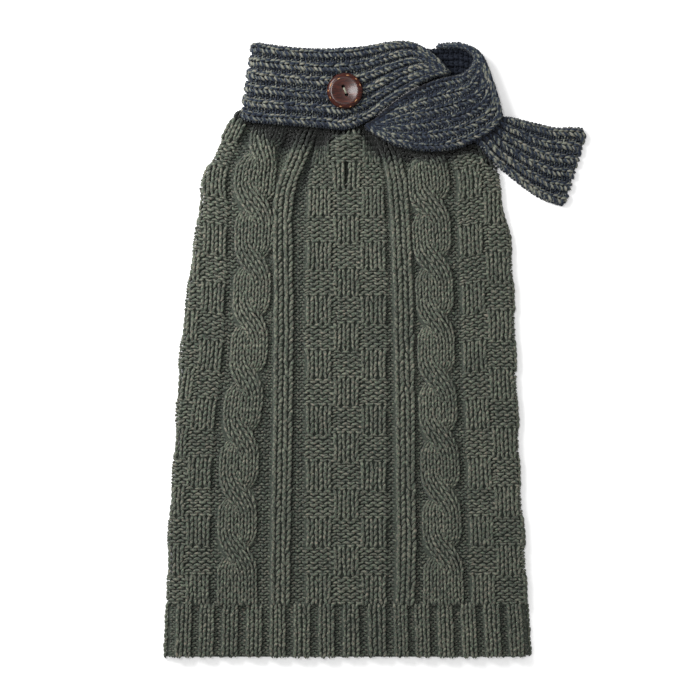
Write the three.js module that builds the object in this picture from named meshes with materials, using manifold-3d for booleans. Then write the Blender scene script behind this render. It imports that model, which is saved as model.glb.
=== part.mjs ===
// Knitted dog sweater laid flat with its back up, and its buttoned scarf collar tucked through itself.
// Millimetres, +Z up from the surface it lies on, +Y towards the neck, origin under the middle of the body.
import * as THREE from 'three';
import { mergeVertices } from 'three/addons/utils/BufferGeometryUtils.js';
import Module from 'manifold-3d';

const { clamp, lerp, smoothstep } = THREE.MathUtils;

// Rows of a table, each read by the names of its columns
const tableOf = (columns, rows) => rows.map(
  (row) => Object.fromEntries(columns.map((column, i) => [column, row[i]])),
);

// Cloth heights
const seamGap = 0.3;
const bellyWall = 3;
const backBottom = bellyWall + seamGap;
const backWall = 2.9; // the back's cloth without its raised pattern
const backTop = backBottom + backWall;
const strandTop = backTop - 0.2; // the collar's rear strand lies beside the neck

// Lengths along the body
const hemEnd = -214.5;
const hemTop = -177;
const neckEnd = 164.5;

// Knit: blocks of 5 courses, and cables that cross every second block
const blockPitch = { centre: 19.27, cable: 20.2, side: 20.5 }; // length of one block of courses
const centreBow = 3.7; // the centre's courses ride this far up half way along
const sideBlock = 17.9; // three stitches
const blockInset = 0.7; // a raised block's top stops this far inside its stitches
const gutter = 4.6;
const ribHalf = 7.2;
const panelCentre = -1;
const straightBlocks = 15; // above these the courses fan into the neck
const crossingAt = 1.8; // blocks from the hem to the first crossing
const crossingEvery = 2;
const crossingLength = 0.8; // of a block

// Raised pattern above the back's plain cloth
const raised = { knit: 1.1, purl: 0.3, rib: 1.5, strand: 1.5, over: 2.4, under: 0.6, hemRib: 1.3 };

// Outline and pattern lines of the body, one row for each place along it
const bodyLines = tableOf(['y', 'left', 'cableL', 'ribL', 'half', 'ribR', 'cableR', 'cable', 'right'], [
  [-215, -126.4, -76.7, -46.9, 28.7, 37.8, 68.3, 14.4, 127],
  [-177, -125, -77, -46.9, 28.7, 39.9, 67.2, 14.4, 124.6],
  [-133, -124.6, -77, -46.6, 28.7, 41, 66.2, 14, 122.9],
  [-91, -121.5, -76.3, -45.9, 28.7, 40.6, 64.8, 14, 119.7],
  [-49, -118.7, -73.9, -45.2, 28.7, 40.3, 63.4, 13.8, 118.3],
  [-7, -116.6, -69.3, -44.8, 28.7, 39.6, 62, 13.3, 116.9],
  [35, -111.7, -67.2, -44.5, 28.7, 38.9, 60.9, 13.3, 115.5],
  [77, -106.1, -65.5, -45.2, 28, 37.5, 58.8, 12.9, 112.7],
  [101.5, -102.6, -64.4, -44.8, 27.3, 36.1, 57.4, 12.3, 107.5],
  [119, -100.5, -64.8, -41.3, 26.3, 34.3, 56.7, 12.6, 104.7],
  [133, -93.8, -62, -35.4, 23.8, 31.2, 55, 12.3, 101.9],
  [150.5, -85.8, -55.7, -28.4, 19.6, 25.6, 51.5, 11.9, 97],
  [164.5, -77.7, -50.8, -22.4, 15.4, 20.3, 46.9, 10.5, 92],
]);

// Creases that run down from the gathered neck
const neckFolds = tableOf(['x', 'y', 'slant', 'length', 'width', 'depth'], [
  [-21.5, 152, -0.35, 20, 4.5, 1.6],
  [15.5, 147, 0.3, 22, 5, 1.8],
  [-62, 146, -0.5, 14, 4, 0.9],
]);

// Where the collar's lower edge crosses the body
const collarEdge = tableOf(['x', 'y'], [
  [-80, 163],
  [-54, 157.5],
  [-33, 155.5],
  [-2, 153.5],
  [11, 157],
  [22, 148.5],
  [36, 141.5],
  [52, 138.8],
  [69, 138.5],
  [86, 143],
  [93, 140],
  [99, 133],
  [114, 121],
]);

const leashSlit = { x: -0.5, y: 121, length: 12.6, width: 1.5 };

const legHoles = { x: 58, y: 78, halfWidth: 21, halfLength: 31, tilt: 0.12 };

// Hem rib: fifteen ribs of two stitches between purl gutters, the first and last at the side folds
const hemRibs = 15;
const hemRibShare = 0.69;

// The collar, cut across its length: `in` is the edge nearer the neck hole, `out` the other
const frontSections = tableOf(['inX', 'inY', 'outX', 'outY', 'low', 'lowOut', 'high'], [
  [-69.2, 215.2, -77.4, 162.4, 4.6, 6.8, 7.6],
  [-67.4, 215.5, -75.6, 161.4, 0.9, 6.6, 10.6],
  [-63, 215.2, -70, 159.6, 0, 6.6, 11.4],
  [-59.4, 214.6, -64.4, 158.6, 0, 6.6, 11.7],
  [-56, 214, -58.6, 158, 6.6, 6.6, 11.9],
  [-40, 212.2, -40.4, 156.6, 6.6, 6.6, 12],
  [-22, 211, -19.6, 155, 6.6, 6.6, 12.1],
  [-2, 211.6, 0.4, 153.9, 6.6, 6.6, 12.2],
  [14, 213, 15.6, 160.6, 6.6, 6.6, 12.6],
  [27, 215.3, 27, 169.6, 6.6, 6.6, 13.2],
  [38.6, 216.2, 38.4, 178, 6.6, 6.6, 13.6],
  [49.6, 213.6, 52.6, 186.2, 6.6, 6.6, 13.2],
  [59, 207.6, 62.4, 190, 6.6, 6.6, 12],
  [67, 200.4, 69.4, 191.6, 6.6, 6.6, 10.4],
]);

const loopSections = tableOf(['inX', 'inY', 'outX', 'outY', 'low', 'lowOut', 'high'], [
  [13.6, 158.4, 12.6, 154.6, 6.6, 6.6, 10],
  [18, 160.6, 19.6, 150.2, 6.6, 6.6, 10.8],
  [28.6, 169.6, 31, 143.6, 6.6, 6.6, 11.4],
  [41, 178.6, 46, 139.6, 6.6, 6.6, 11.9],
  [54.4, 185.8, 61, 138.4, 6.6, 6.6, 12.3],
  [66, 189.8, 76, 140.4, 6.6, 6.6, 12.8],
  [74.6, 191.2, 90, 145.6, 6.6, 6.6, 13.2],
  [79.6, 192.6, 101.6, 152.4, 6.6, 6.6, 13.2],
  [83, 194.8, 108.6, 162, 6.6, 0.4, 12.8],
  [86, 197.4, 107, 172, 6.6, 0, 12.4],
  [87.8, 200.8, 103.2, 184, 6.6, 0, 12],
  [88.6, 204.6, 99.6, 195.6, 6.6, 0, 11.6],
  [85, 208.4, 93.8, 207.4, 6.6, 0, 11.2],
  [78.6, 210.4, 81.6, 214, 0, 0, 10.6],
  [70, 210.4, 70, 214.6, 0, 0, 9.6],
  [61.8, 210.2, 61.2, 213.2, 0, 0, 8.4],
]);

const tailSections = tableOf(['inX', 'inY', 'outX', 'outY', 'low', 'lowOut', 'high'], [
  [112.2, 162.8, 93.2, 140.8, 0, 6.8, 10.2],
  [116.4, 162.3, 99, 133.6, 0, 6.8, 9],
  [124, 161, 113, 121.6, 0, 1.5, 6.6],
  [134.6, 158.6, 126, 111.4, 0, 0, 5.6],
  [146, 156.2, 138, 104.4, 0, 0, 5.4],
  [157, 156.4, 146.6, 101.6, 0, 0, 5.4],
  [165.6, 154.4, 151.6, 101, 0, 0, 5.2],
  [167.6, 150.4, 153.2, 101.8, 0.8, 0.8, 4.2],
]);

const rearStrand = tableOf(['x', 'y'], [
  [-55.6, 209.6],
  [-1, 208.4],
  [56, 209.4],
  [75, 208.6],
  [83, 203.4],
  [85.6, 196],
  [85.6, 165],
  [-55.6, 165],
]);

const collarRibs = 6;
const ribRelief = 1.2;
const ribTop = [{ within: 0.16, relief: 0.8 }, { within: 0.5, relief: 1 }, { within: 0.84, relief: 0.8 }];
const bandUnder = [0.985, 0.93, 0.86, 0.7, 0.5, 0.3, 0.12, 0.015]; // across the underside
const edgeRoll = 1.1;
const edgeHeight = 0.45; // where a band's side bulges, as a share of its thickness
const evenRamp = { rampStart: 0.45, rampEnd: 0.84 }; // where the underside steps from low to lowOut
const tailRamp = { rampStart: 0.28, rampEnd: 0.64 };

const button = {
  x: -1.8,
  y: 180.3,
  z: 12.7,
  radius: 12.5,
  thickness: 4.2,
  hole: 1.1,
  holeOffset: 3.05,
  holeTurn: 1.96,
};

// Smooth value of one column of a table, at a place given in its key column
function columnAt(table, key, place, column) {
  let i = 0;
  while (i < table.length - 2 && table[i + 1][key] < place) i += 1;
  const from = table[i];
  const to = table[i + 1];
  const before = table[i - 1] ?? from;
  const after = table[i + 2] ?? to;
  const span = to[key] - from[key];
  const t = clamp((place - from[key]) / span, 0, 1);
  const slopeFrom = ((to[column] - before[column]) / (to[key] - before[key])) * span;
  const slopeTo = ((after[column] - from[column]) / (after[key] - from[key])) * span;
  const bend = 2 * (from[column] - to[column]) + slopeFrom + slopeTo;
  const lean = 3 * (to[column] - from[column]) - 2 * slopeFrom - slopeTo;
  return ((bend * t + lean) * t + slopeFrom) * t + from[column];
}

// Closed solid through rings of points. Each ring runs across the top and back along the underside,
// and its end faces are strips between the two, stepped along by how far across each point lies.
function ringSolid(rings, topCount, acrossAt) {
  const count = rings[0].length;
  const index = [];
  for (let row = 0; row < rings.length - 1; row += 1) {
    for (let i = 0; i < count; i += 1) {
      const a = row * count + i;
      const b = row * count + ((i + 1) % count);
      index.push(a, b, b + count, a, b + count, a + count);
    }
  }
  for (const row of [0, rings.length - 1]) {
    let top = 0;
    let under = count - 1;
    while (top < topCount - 1 || under > topCount) {
      const topNext = top < topCount - 1 ? acrossAt(row, top + 1) : Infinity;
      const underNext = under > topCount ? acrossAt(row, under - 1) : Infinity;
      const face = topNext <= underNext ? [top, top + 1, under] : [top, under - 1, under];
      if (topNext <= underNext) top += 1;
      else under -= 1;
      if (row === 0) face.reverse();
      index.push(...face.map((i) => row * count + i));
    }
  }
  const geometry = new THREE.BufferGeometry();
  const coordinates = rings.flat().flatMap((point) => point.toArray());
  geometry.setAttribute('position', new THREE.Float32BufferAttribute(coordinates, 3));
  geometry.setIndex(index);
  return facingOut(geometry);
}

function facingOut(geometry) {
  const place = geometry.getAttribute('position');
  const index = geometry.getIndex().array;
  const [a, b, c] = [new THREE.Vector3(), new THREE.Vector3(), new THREE.Vector3()];
  let volume = 0;
  for (let i = 0; i < index.length; i += 3) {
    a.fromBufferAttribute(place, index[i]);
    b.fromBufferAttribute(place, index[i + 1]);
    c.fromBufferAttribute(place, index[i + 2]);
    volume += a.dot(b.cross(c));
  }
  if (volume < 0) {
    for (let i = 0; i < index.length; i += 3) [index[i + 1], index[i + 2]] = [index[i + 2], index[i + 1]];
  }
  return geometry;
}

const wasm = await Module();
wasm.setup();

function solidOf(geometry) {
  const bare = geometry.clone();
  bare.deleteAttribute('normal');
  bare.deleteAttribute('uv');
  const merged = mergeVertices(bare, 1e-3);
  return new wasm.Manifold(new wasm.Mesh({
    numProp: 3,
    vertProperties: new Float32Array(merged.getAttribute('position').array),
    triVerts: new Uint32Array(merged.getIndex().array),
  }));
}

function geometryOf(solid) {
  const mesh = solid.getMesh();
  const geometry = new THREE.BufferGeometry();
  geometry.setAttribute('position', new THREE.BufferAttribute(mesh.vertProperties, 3));
  geometry.setIndex(new THREE.BufferAttribute(mesh.triVerts, 1));
  return geometry;
}

function cutThrough(geometry, cutters) {
  return geometryOf(cutters.reduce((left, cutter) => left.subtract(solidOf(cutter)), solidOf(geometry)));
}

function pieceOf(name, geometry, cloth) {
  const mesh = new THREE.Mesh(geometry, cloth);
  mesh.name = name;
  return mesh;
}

const sageWool = new THREE.MeshStandardMaterial({ color: 0x4f554c, roughness: 0.95, metalness: 0 });
const navyMarl = new THREE.MeshStandardMaterial({ color: 0x3f464d, roughness: 0.95, metalness: 0 });
const coconut = new THREE.MeshStandardMaterial({ color: 0x4b1e12, roughness: 0.3, metalness: 0 });

// Where a block of courses lies along the body, which differs from the centre to the sides
function courseY(x, blocks) {
  const away = Math.abs(x - panelCentre);
  const outer = smoothstep(away, 30, 60);
  const side = smoothstep(away, 75, 100);
  const pitch = lerp(lerp(blockPitch.centre, blockPitch.cable, outer), blockPitch.side, side);
  const bow = centreBow * (1 - outer) * Math.sin((Math.PI * Math.min(blocks, 16)) / 16);
  return hemTop + blocks * pitch + bow;
}

function neckBlocks(x) {
  let blocks = straightBlocks;
  while (courseY(x, blocks) < neckEnd) blocks += 0.01;
  return blocks;
}

// Lateral sway of a cable's strand, from -1 to 1, and how high it rides while crossing
function cableStrand(blocks, first) {
  const sinceFirst = blocks - crossingAt;
  const crossing = Math.max(0, Math.round(sinceFirst / crossingEvery));
  const turn = clamp((sinceFirst - crossing * crossingEvery) / crossingLength + 0.5, 0, 1);
  const swung = -Math.cos(turn * Math.PI);
  const crossed = Math.sin(turn * Math.PI);
  const starts = (crossing % 2 === 0) === first ? 1 : -1;
  return { sway: -starts * swung, crossed, over: starts > 0 };
}

function cableRelief(across, blocks) {
  let height = 0;
  for (const first of [true, false]) {
    const { sway, crossed, over } = cableStrand(blocks, first);
    const offset = Math.abs(across - sway * 0.5) / 0.56;
    const ridge = lerp(raised.strand, over ? raised.over : raised.under, crossed);
    height = Math.max(height, ridge * Math.sqrt(Math.max(0, 1 - offset ** 4)));
  }
  return height;
}

// Knit and purl blocks take turns along a column
function knitBlock(blocks, startsPurl) {
  const knits = (Math.abs(Math.floor(blocks)) % 2 === 1) === startsPurl;
  return knits ? raised.knit : raised.purl;
}

// Columns of the pattern across one place of the body: where each lies and how high it is raised
function patternColumns(line) {
  const columns = [];
  const add = (x, relief) => columns.push({ x, relief });
  const block = (from, to, startsPurl) => {
    for (const x of [from + blockInset, to - blockInset]) add(x, (blocks) => knitBlock(blocks, startsPurl));
  };
  const flatAt = (x) => add(x, () => 0);
  const rib = (centre) => {
    for (const share of [-0.8, 0, 0.8]) {
      add(centre + share * ribHalf, () => raised.rib * (1 - 0.25 * Math.abs(share)));
    }
  };
  const cable = (centre, half) => {
    for (const share of [-1, -0.75, -0.5, -0.25, 0, 0.25, 0.5, 0.75, 1]) {
      add(centre + share * half, (blocks) => cableRelief(share, blocks));
    }
  };
  const innerL = line.cableL - line.cable - gutter;
  const innerR = line.cableR + line.cable + gutter;
  const third = line.half / 3;
  block(innerL - 2 * sideBlock, innerL - sideBlock, true);
  block(innerL - sideBlock, innerL, false);
  flatAt(innerL + gutter / 2);
  cable(line.cableL, line.cable);
  flatAt((line.cableL + line.cable + line.ribL - ribHalf) / 2);
  rib(line.ribL);
  flatAt((line.ribL + ribHalf + panelCentre - line.half) / 2);
  block(panelCentre - line.half, panelCentre - third, false);
  block(panelCentre - third, panelCentre + third, true);
  block(panelCentre + third, panelCentre + line.half, false);
  flatAt((line.ribR - ribHalf + panelCentre + line.half) / 2);
  rib(line.ribR);
  flatAt((line.cableR - line.cable + line.ribR + ribHalf) / 2);
  cable(line.cableR, line.cable);
  flatAt(innerR - gutter / 2);
  block(innerR, innerR + sideBlock, false);
  block(innerR + sideBlock, innerR + 2 * sideBlock, true);
  return columns;
}

function bodyLine(y) {
  const columns = Object.keys(bodyLines[0]).filter((column) => column !== 'y');
  return Object.fromEntries(columns.map((column) => [column, columnAt(bodyLines, 'y', y, column)]));
}

// The pattern fades out under the collar, and the neck's creases sink into it
function pressedRelief(x, y, height) {
  const clear = columnAt(collarEdge, 'x', x, 'y') - y;
  let relief = height * smoothstep(clear, 2, 6);
  for (const fold of neckFolds) {
    const down = (fold.y - y) / fold.length;
    const aside = (x - fold.x - fold.slant * (fold.y - y)) / fold.width;
    relief -= fold.depth * Math.exp(-(aside ** 2) - (down * 1.6) ** 2) * smoothstep(clear, 0, 4);
  }
  return Math.max(relief, -1.2);
}

// Side fold of the back: how far in from the outline, and how high above the seam
const sideFold = [
  { inset: 0.6, height: 0 },
  { inset: 0, height: 1.2 },
  { inset: 0.9, height: 2.5 },
];
const foldWidth = 3.2;
const columnSpacing = 0.45;
const backUnder = [0.86, 0.7, 0.5, 0.3, 0.14]; // across the underside, from right to left
const hemUnder = [0.7, 0.3];
const ringShares = [0.06, 0.36, 0.64, 0.94]; // rings of the back within one block of courses
const neckRings = 10;

// One ring of the back, at a number of blocks from the hem, or part of the way from there to the neck
function backRing(blocks, towardsNeck) {
  const blocksAt = (x) => lerp(blocks, neckBlocks(x), towardsNeck);
  const middle = bodyLine(courseY(panelCentre, blocksAt(panelCentre)));
  const count = patternColumns(middle).length;
  const ring = [];
  const place = (nominal, z) => {
    const y = courseY(nominal, blocksAt(nominal));
    return new THREE.Vector3(nominal, y, z);
  };
  const edgeAt = (side) => {
    let x = middle[side];
    for (let i = 0; i < 3; i += 1) x = bodyLine(courseY(x, blocksAt(x)))[side];
    return x;
  };
  const left = edgeAt('left');
  const right = edgeAt('right');
  for (const { inset, height } of sideFold) ring.push(place(left + inset, backBottom + height));
  for (let i = 0; i < count; i += 1) {
    let x = patternColumns(middle)[i].x;
    let y = courseY(x, blocksAt(x));
    x = patternColumns(bodyLine(y))[i].x;
    const fromLeft = left + foldWidth + i * columnSpacing;
    const fromRight = right - foldWidth - (count - 1 - i) * columnSpacing;
    x = clamp(x, fromLeft, fromRight);
    y = courseY(x, blocksAt(x));
    const { relief } = patternColumns(bodyLine(y))[i];
    const nearEdge = smoothstep(Math.min(x - left, right - x), foldWidth - 1.2, 3 * foldWidth);
    ring.push(place(x, backTop + nearEdge * pressedRelief(x, y, relief(blocksAt(x)))));
  }
  for (const { inset, height } of [...sideFold].reverse()) {
    ring.push(place(right - inset, backBottom + height));
  }
  for (const share of backUnder) ring.push(place(lerp(left, right, share), backBottom));
  return ring;
}

function backPanel() {
  const rings = [backRing(0, 0)];
  for (let block = 0; block < straightBlocks; block += 1) {
    for (const share of ringShares) rings.push(backRing(block + share, 0));
  }
  for (let step = 0; step <= neckRings; step += 1) {
    rings.push(backRing(straightBlocks + ringShares[0], step / neckRings));
  }
  const solid = ringSolid(rings, rings[0].length - backUnder.length, (row, i) => rings[row][i].x);
  const { x, y, length, width } = leashSlit;
  const lens = new THREE.Shape();
  lens.moveTo(x, y - length / 2);
  lens.quadraticCurveTo(x + width, y, x, y + length / 2);
  lens.quadraticCurveTo(x - width, y, x, y - length / 2);
  const cutter = new THREE.ExtrudeGeometry(lens, { depth: 20, bevelEnabled: false, curveSegments: 5 });
  return cutThrough(solid, [cutter]);
}

// Hem rib, knitted down from the back
function hemRib() {
  const ringAt = (y, rise) => {
    const line = bodyLine(y);
    const ring = [];
    for (const { inset, height } of sideFold) {
      ring.push(new THREE.Vector3(line.left + inset, y, backBottom + height));
    }
    const width = (line.right - line.left - 2 * foldWidth) / hemRibs;
    for (let rib = 0; rib < hemRibs; rib += 1) {
      const centre = line.left + foldWidth + (rib + 0.5) * width;
      const points = [
        { share: -hemRibShare / 2, relief: 0.8 },
        { share: 0, relief: 1 },
        { share: hemRibShare / 2, relief: 0.8 },
        { share: 0.5, relief: 0 },
      ];
      for (const { share, relief } of points) {
        if (rib === hemRibs - 1 && relief === 0) continue;
        ring.push(new THREE.Vector3(centre + share * width, y, backTop + relief * raised.hemRib * rise));
      }
    }
    for (const { inset, height } of [...sideFold].reverse()) {
      ring.push(new THREE.Vector3(line.right - inset, y, backBottom + height));
    }
    for (const share of hemUnder) {
      ring.push(new THREE.Vector3(lerp(line.left, line.right, share), y, backBottom));
    }
    return ring;
  };
  const rows = [
    { y: hemTop - 0.01, rise: 0.7 },
    { y: hemTop - 4, rise: 1 },
    { y: hemTop - 20, rise: 1 },
    { y: hemEnd + 2, rise: 1 },
    { y: hemEnd, rise: 0.55 },
  ];
  const rings = rows.map(({ y, rise }) => ringAt(y, rise));
  return ringSolid(rings, rings[0].length - hemUnder.length, (row, i) => rings[row][i].x);
}

// Belly: one flat piece under the back, with the two leg holes
function bellyPanel() {
  const edgeInset = 1.6;
  const bevel = 1.1;
  const steps = 26;
  const outline = [];
  for (let i = 0; i <= steps; i += 1) {
    const y = lerp(hemEnd + bevel, neckEnd - bevel, i / steps);
    outline.push(new THREE.Vector2(columnAt(bodyLines, 'y', y, 'right') - edgeInset, y));
  }
  for (let i = steps; i >= 0; i -= 1) {
    const y = lerp(hemEnd + bevel, neckEnd - bevel, i / steps);
    outline.push(new THREE.Vector2(columnAt(bodyLines, 'y', y, 'left') + edgeInset, y));
  }
  const panel = new THREE.Shape(outline);
  for (const side of [-1, 1]) {
    const hole = new THREE.Path();
    const { x, y, halfWidth, halfLength, tilt } = legHoles;
    hole.absellipse(side * x, y, halfWidth, halfLength, 0, 2 * Math.PI, true, side * tilt);
    panel.holes.push(hole);
  }
  const geometry = new THREE.ExtrudeGeometry(panel, {
    depth: bellyWall - 2 * bevel,
    bevelThickness: bevel,
    bevelSize: bevel,
    bevelOffset: 0,
    bevelSegments: 1,
    curveSegments: 16,
  });
  return geometry.translate(0, 0, bevel);
}

// Ribbed band through its sections, each raised in ribs over a plain underside
function bandSolid(sections, stepsEach, { rampStart, rampEnd }) {
  const rows = sections.map((section, at) => ({ ...section, at }));
  const top = [];
  for (let rib = 0; rib < collarRibs; rib += 1) {
    for (const { within, relief } of ribTop) top.push({ share: (rib + within) / collarRibs, relief });
    if (rib < collarRibs - 1) top.push({ share: (rib + 1) / collarRibs, relief: 0 });
  }
  const shares = [0, ...top.map(({ share }) => share), 1, ...bandUnder];
  const rings = [];
  for (let step = 0; step <= (rows.length - 1) * stepsEach; step += 1) {
    const value = (column) => columnAt(rows, 'at', step / stepsEach, column);
    const width = Math.hypot(value('outX') - value('inX'), value('outY') - value('inY'));
    const low = Math.max(0, value('low'));
    const lowOut = Math.max(0, value('lowOut'));
    const high = value('high');
    const relief = ribRelief * clamp(width / 30, 0.35, 1);
    const roll = (share) => edgeRoll * (1 - clamp((Math.min(share, 1 - share) * width) / 2.5, 0, 1));
    const heights = [
      lerp(low, high, edgeHeight),
      ...top.map(({ share, relief: lift }) => high - roll(share) + relief * (lift - 1)),
      lerp(lowOut, high, edgeHeight),
      ...bandUnder.map((share) => lerp(low, lowOut, smoothstep(share, rampStart, rampEnd))),
    ];
    rings.push(shares.map((share, i) => new THREE.Vector3(
      lerp(value('inX'), value('outX'), share),
      lerp(value('inY'), value('outY'), share),
      heights[i],
    )));
  }
  return ringSolid(rings, top.length + 2, (row, i) => shares[i]);
}

// The collar's rear strand, which shows only through the neck hole
function rearStrandSolid() {
  const shape = new THREE.Shape(rearStrand.map(({ x, y }) => new THREE.Vector2(x, y)));
  const bevel = 0.8;
  const geometry = new THREE.ExtrudeGeometry(shape, {
    depth: strandTop - 2 * bevel,
    bevelThickness: bevel,
    bevelSize: bevel,
    bevelOffset: -bevel,
    bevelSegments: 1,
  });
  return geometry.translate(0, 0, bevel);
}

function buttonSolid() {
  const { radius, thickness, hole, holeOffset, holeTurn } = button;
  const profile = [
    [0, 0],
    [radius - 1.6, 0],
    [radius - 0.3, 0.8],
    [radius, 1.7],
    [radius - 0.5, 2.6],
    [radius - 2.2, 3.3],
    [radius - 5.2, thickness],
    [radius - 8.4, thickness - 0.4],
    [0, thickness - 0.7],
  ].map(([across, up]) => new THREE.Vector2(across, up));
  const disc = new THREE.LatheGeometry(profile, 36).rotateX(Math.PI / 2);
  const cutters = [1, -1].map((side) => new THREE.CylinderGeometry(hole, hole, 20, 12)
    .rotateX(Math.PI / 2)
    .translate(side * holeOffset * Math.cos(holeTurn), side * holeOffset * Math.sin(holeTurn), 0));
  return cutThrough(facingOut(mergeVertices(bareOf(disc), 1e-3)), cutters);
}

function bareOf(geometry) {
  geometry.deleteAttribute('normal');
  geometry.deleteAttribute('uv');
  return geometry;
}

const sweater = new THREE.Group();
sweater.add(pieceOf('back_panel', backPanel(), sageWool));
sweater.add(pieceOf('hem_rib', hemRib().translate(0, -seamGap, 0), sageWool));
sweater.add(pieceOf('belly_panel', bellyPanel(), sageWool));
sweater.add(pieceOf('scarf_front', bandSolid(frontSections, 2, evenRamp), navyMarl));
sweater.add(pieceOf('scarf_loop', bandSolid(loopSections, 2, evenRamp), navyMarl));
sweater.add(pieceOf('scarf_tail', bandSolid(tailSections, 2, tailRamp), navyMarl));
sweater.add(pieceOf('scarf_back', rearStrandSolid(), navyMarl));

const woodenButton = pieceOf('button', buttonSolid(), coconut);
woodenButton.position.set(button.x, button.y, button.z);
sweater.add(woodenButton);

export default sweater;
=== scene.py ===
import math

import bpy
import numpy as np
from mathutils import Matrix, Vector


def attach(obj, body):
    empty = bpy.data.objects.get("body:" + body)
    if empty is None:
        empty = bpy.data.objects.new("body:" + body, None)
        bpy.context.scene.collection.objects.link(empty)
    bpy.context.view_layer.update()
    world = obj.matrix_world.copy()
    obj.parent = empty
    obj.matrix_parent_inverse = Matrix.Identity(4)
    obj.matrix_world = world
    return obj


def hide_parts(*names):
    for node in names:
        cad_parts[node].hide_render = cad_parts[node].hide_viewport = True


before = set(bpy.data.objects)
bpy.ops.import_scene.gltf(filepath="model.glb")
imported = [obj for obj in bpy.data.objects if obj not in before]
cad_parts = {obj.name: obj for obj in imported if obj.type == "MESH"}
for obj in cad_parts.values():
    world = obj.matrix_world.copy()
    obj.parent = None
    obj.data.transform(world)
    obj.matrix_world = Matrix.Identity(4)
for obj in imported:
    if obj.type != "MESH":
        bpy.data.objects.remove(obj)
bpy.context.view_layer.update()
rng = np.random.default_rng(20)
metres = 0.001  # everything below is in millimetres until a mesh is made

# The body's cloth, in millimetres, as it lies

body = {
    "backTop": 6.2,  # plain cloth of the back
    "foldRadius": 3.1,  # side folds
    "hemTop": -177.0,
    "hemEnd": -214.5,
    "neckEnd": 164.5,
    "panelCentre": -1.0,
    "ribHalf": 7.2,
    "gutter": 4.6,
    "sideBlock": 17.9,
    "pitchCentre": 19.27,  # a block of courses
    "pitchCable": 20.2,
    "pitchSide": 20.5,
    "centreBow": 3.7,
    "coursesPerBlock": 5,
    "edgeWave": 0.8,  # purl blocks stand out at the sides
    "courses": 89,
}

bodyLines = {
    "y": [-215, -177, -133, -91, -49, -7, 35, 77, 101.5, 119, 133, 150.5, 164.5],
    "left": [
        -126.4, -125, -124.6, -121.5, -118.7, -116.6, -111.7, -106.1, -102.6, -100.5, -93.8, -85.8, -77.7,
    ],
    "cableL": [-76.7, -77, -77, -76.3, -73.9, -69.3, -67.2, -65.5, -64.4, -64.8, -62, -55.7, -50.8],
    "ribL": [-46.9, -46.9, -46.6, -45.9, -45.2, -44.8, -44.5, -45.2, -44.8, -41.3, -35.4, -28.4, -22.4],
    "half": [28.7, 28.7, 28.7, 28.7, 28.7, 28.7, 28.7, 28, 27.3, 26.3, 23.8, 19.6, 15.4],
    "ribR": [37.8, 39.9, 41, 40.6, 40.3, 39.6, 38.9, 37.5, 36.1, 34.3, 31.2, 25.6, 20.3],
    "cableR": [68.3, 67.2, 66.2, 64.8, 63.4, 62, 60.9, 58.8, 57.4, 56.7, 55, 51.5, 46.9],
    "cable": [14.4, 14.4, 14, 14, 13.8, 13.4, 13.5, 13.8, 14.4, 14.8, 14.4, 13.0, 11.5],
    "right": [127, 124.6, 122.9, 119.7, 118.3, 116.9, 115.5, 112.7, 107.5, 104.7, 101.9, 97, 92],
    "middle": [9.6, 9.6, 9.6, 9.6, 9.6, 9.6, 9.6, 9.5, 10.0, 10.4, 11.2, 11.2, 8.5],
}

collarEdge = {  # where the collar's lower edge crosses the body
    "x": [-80, -54, -33, -2, 11, 22, 36, 52, 69, 86, 93, 99, 114],
    "y": [163, 157.5, 155.5, 153.5, 157, 148.5, 141.5, 138.8, 138.5, 143, 140, 133, 121],
}

# the reach also sets how far painted shade under the collar goes
collarHang = {  # how far down the collar's bulk presses and shades the body
    "x": [-80, -70, -60, -20, -13, -8, 6, 14, 40, 60, 80, 114],
    "reach": [3, 4, 13, 13, 9, 5, 5, 13, 11, 8, 8, 5],
}

# a crease's depth also sets its painted shade
neckFolds = [  # creases that run down from the gathered neck, and the hump between them
    {"x": -17.5, "y": 149, "slant": -0.05, "length": 19, "width": 4.8, "depth": 3.4},
    {"x": -28, "y": 124, "slant": -0.3, "length": 34, "width": 3.5, "depth": 1.6},
    {"x": 18, "y": 148, "slant": 0.1, "length": 19, "width": 7, "depth": 3.4},
    {"x": -40.5, "y": 150, "slant": -0.42, "length": 26, "width": 4, "depth": 1.4},
    {"x": -70, "y": 148, "slant": -0.4, "length": 20, "width": 5, "depth": 1.4},
    {"x": -1.5, "y": 146, "slant": 0, "length": 24, "width": 11, "depth": -4.2},
    {"x": -29, "y": 150, "slant": -0.42, "length": 34, "width": 6, "depth": -2.8},
    {"x": -57, "y": 140, "slant": -0.3, "length": 38, "width": 10, "depth": -3.2},
    {"x": 26, "y": 146, "slant": 0.28, "length": 30, "width": 5, "depth": -2.2},
    {"x": 51, "y": 140, "slant": 0.17, "length": 30, "width": 10, "depth": -1.8},
]

slit = {"wale": 23.5, "x": -0.9, "y": 122.0, "length": 22, "spread": 1.25}

pattern = {
    "knit": 1.0,
    "purl": 0.45,
    "crown": 0.6,
    "rib": 1.7,
    "strand": 2.6,
    "over": 3.5,
    "under": -0.9,
    "gutter": -1.5,
    "crossingAt": 1.8,  # blocks from the hem
    "crossingEvery": 2,
    "crossingLength": 1.5,
    "deepest": -2.4,
    "knitPull": 0.06,  # knit blocks draw in, and purl blocks spread
}

# Wales from the left side to the right: kind of column and how many stitches wide
groups = [
    ("odd", 3), ("even", 3), ("gutter", 1), ("cable", 6), ("gutter", 2), ("rib", 2), ("gutter", 2),
    ("even", 3), ("odd", 3), ("even", 3),
    ("gutter", 1), ("rib", 2), ("gutter", 1), ("cable", 6), ("gutter", 1), ("even", 3), ("odd", 3),
]
groupStarts = np.concatenate([[0], np.cumsum([wide for kind, wide in groups])])
waleCount = int(groupStarts[-1])
edgeWales = 3  # beyond each side block, which wrap round the side


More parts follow.
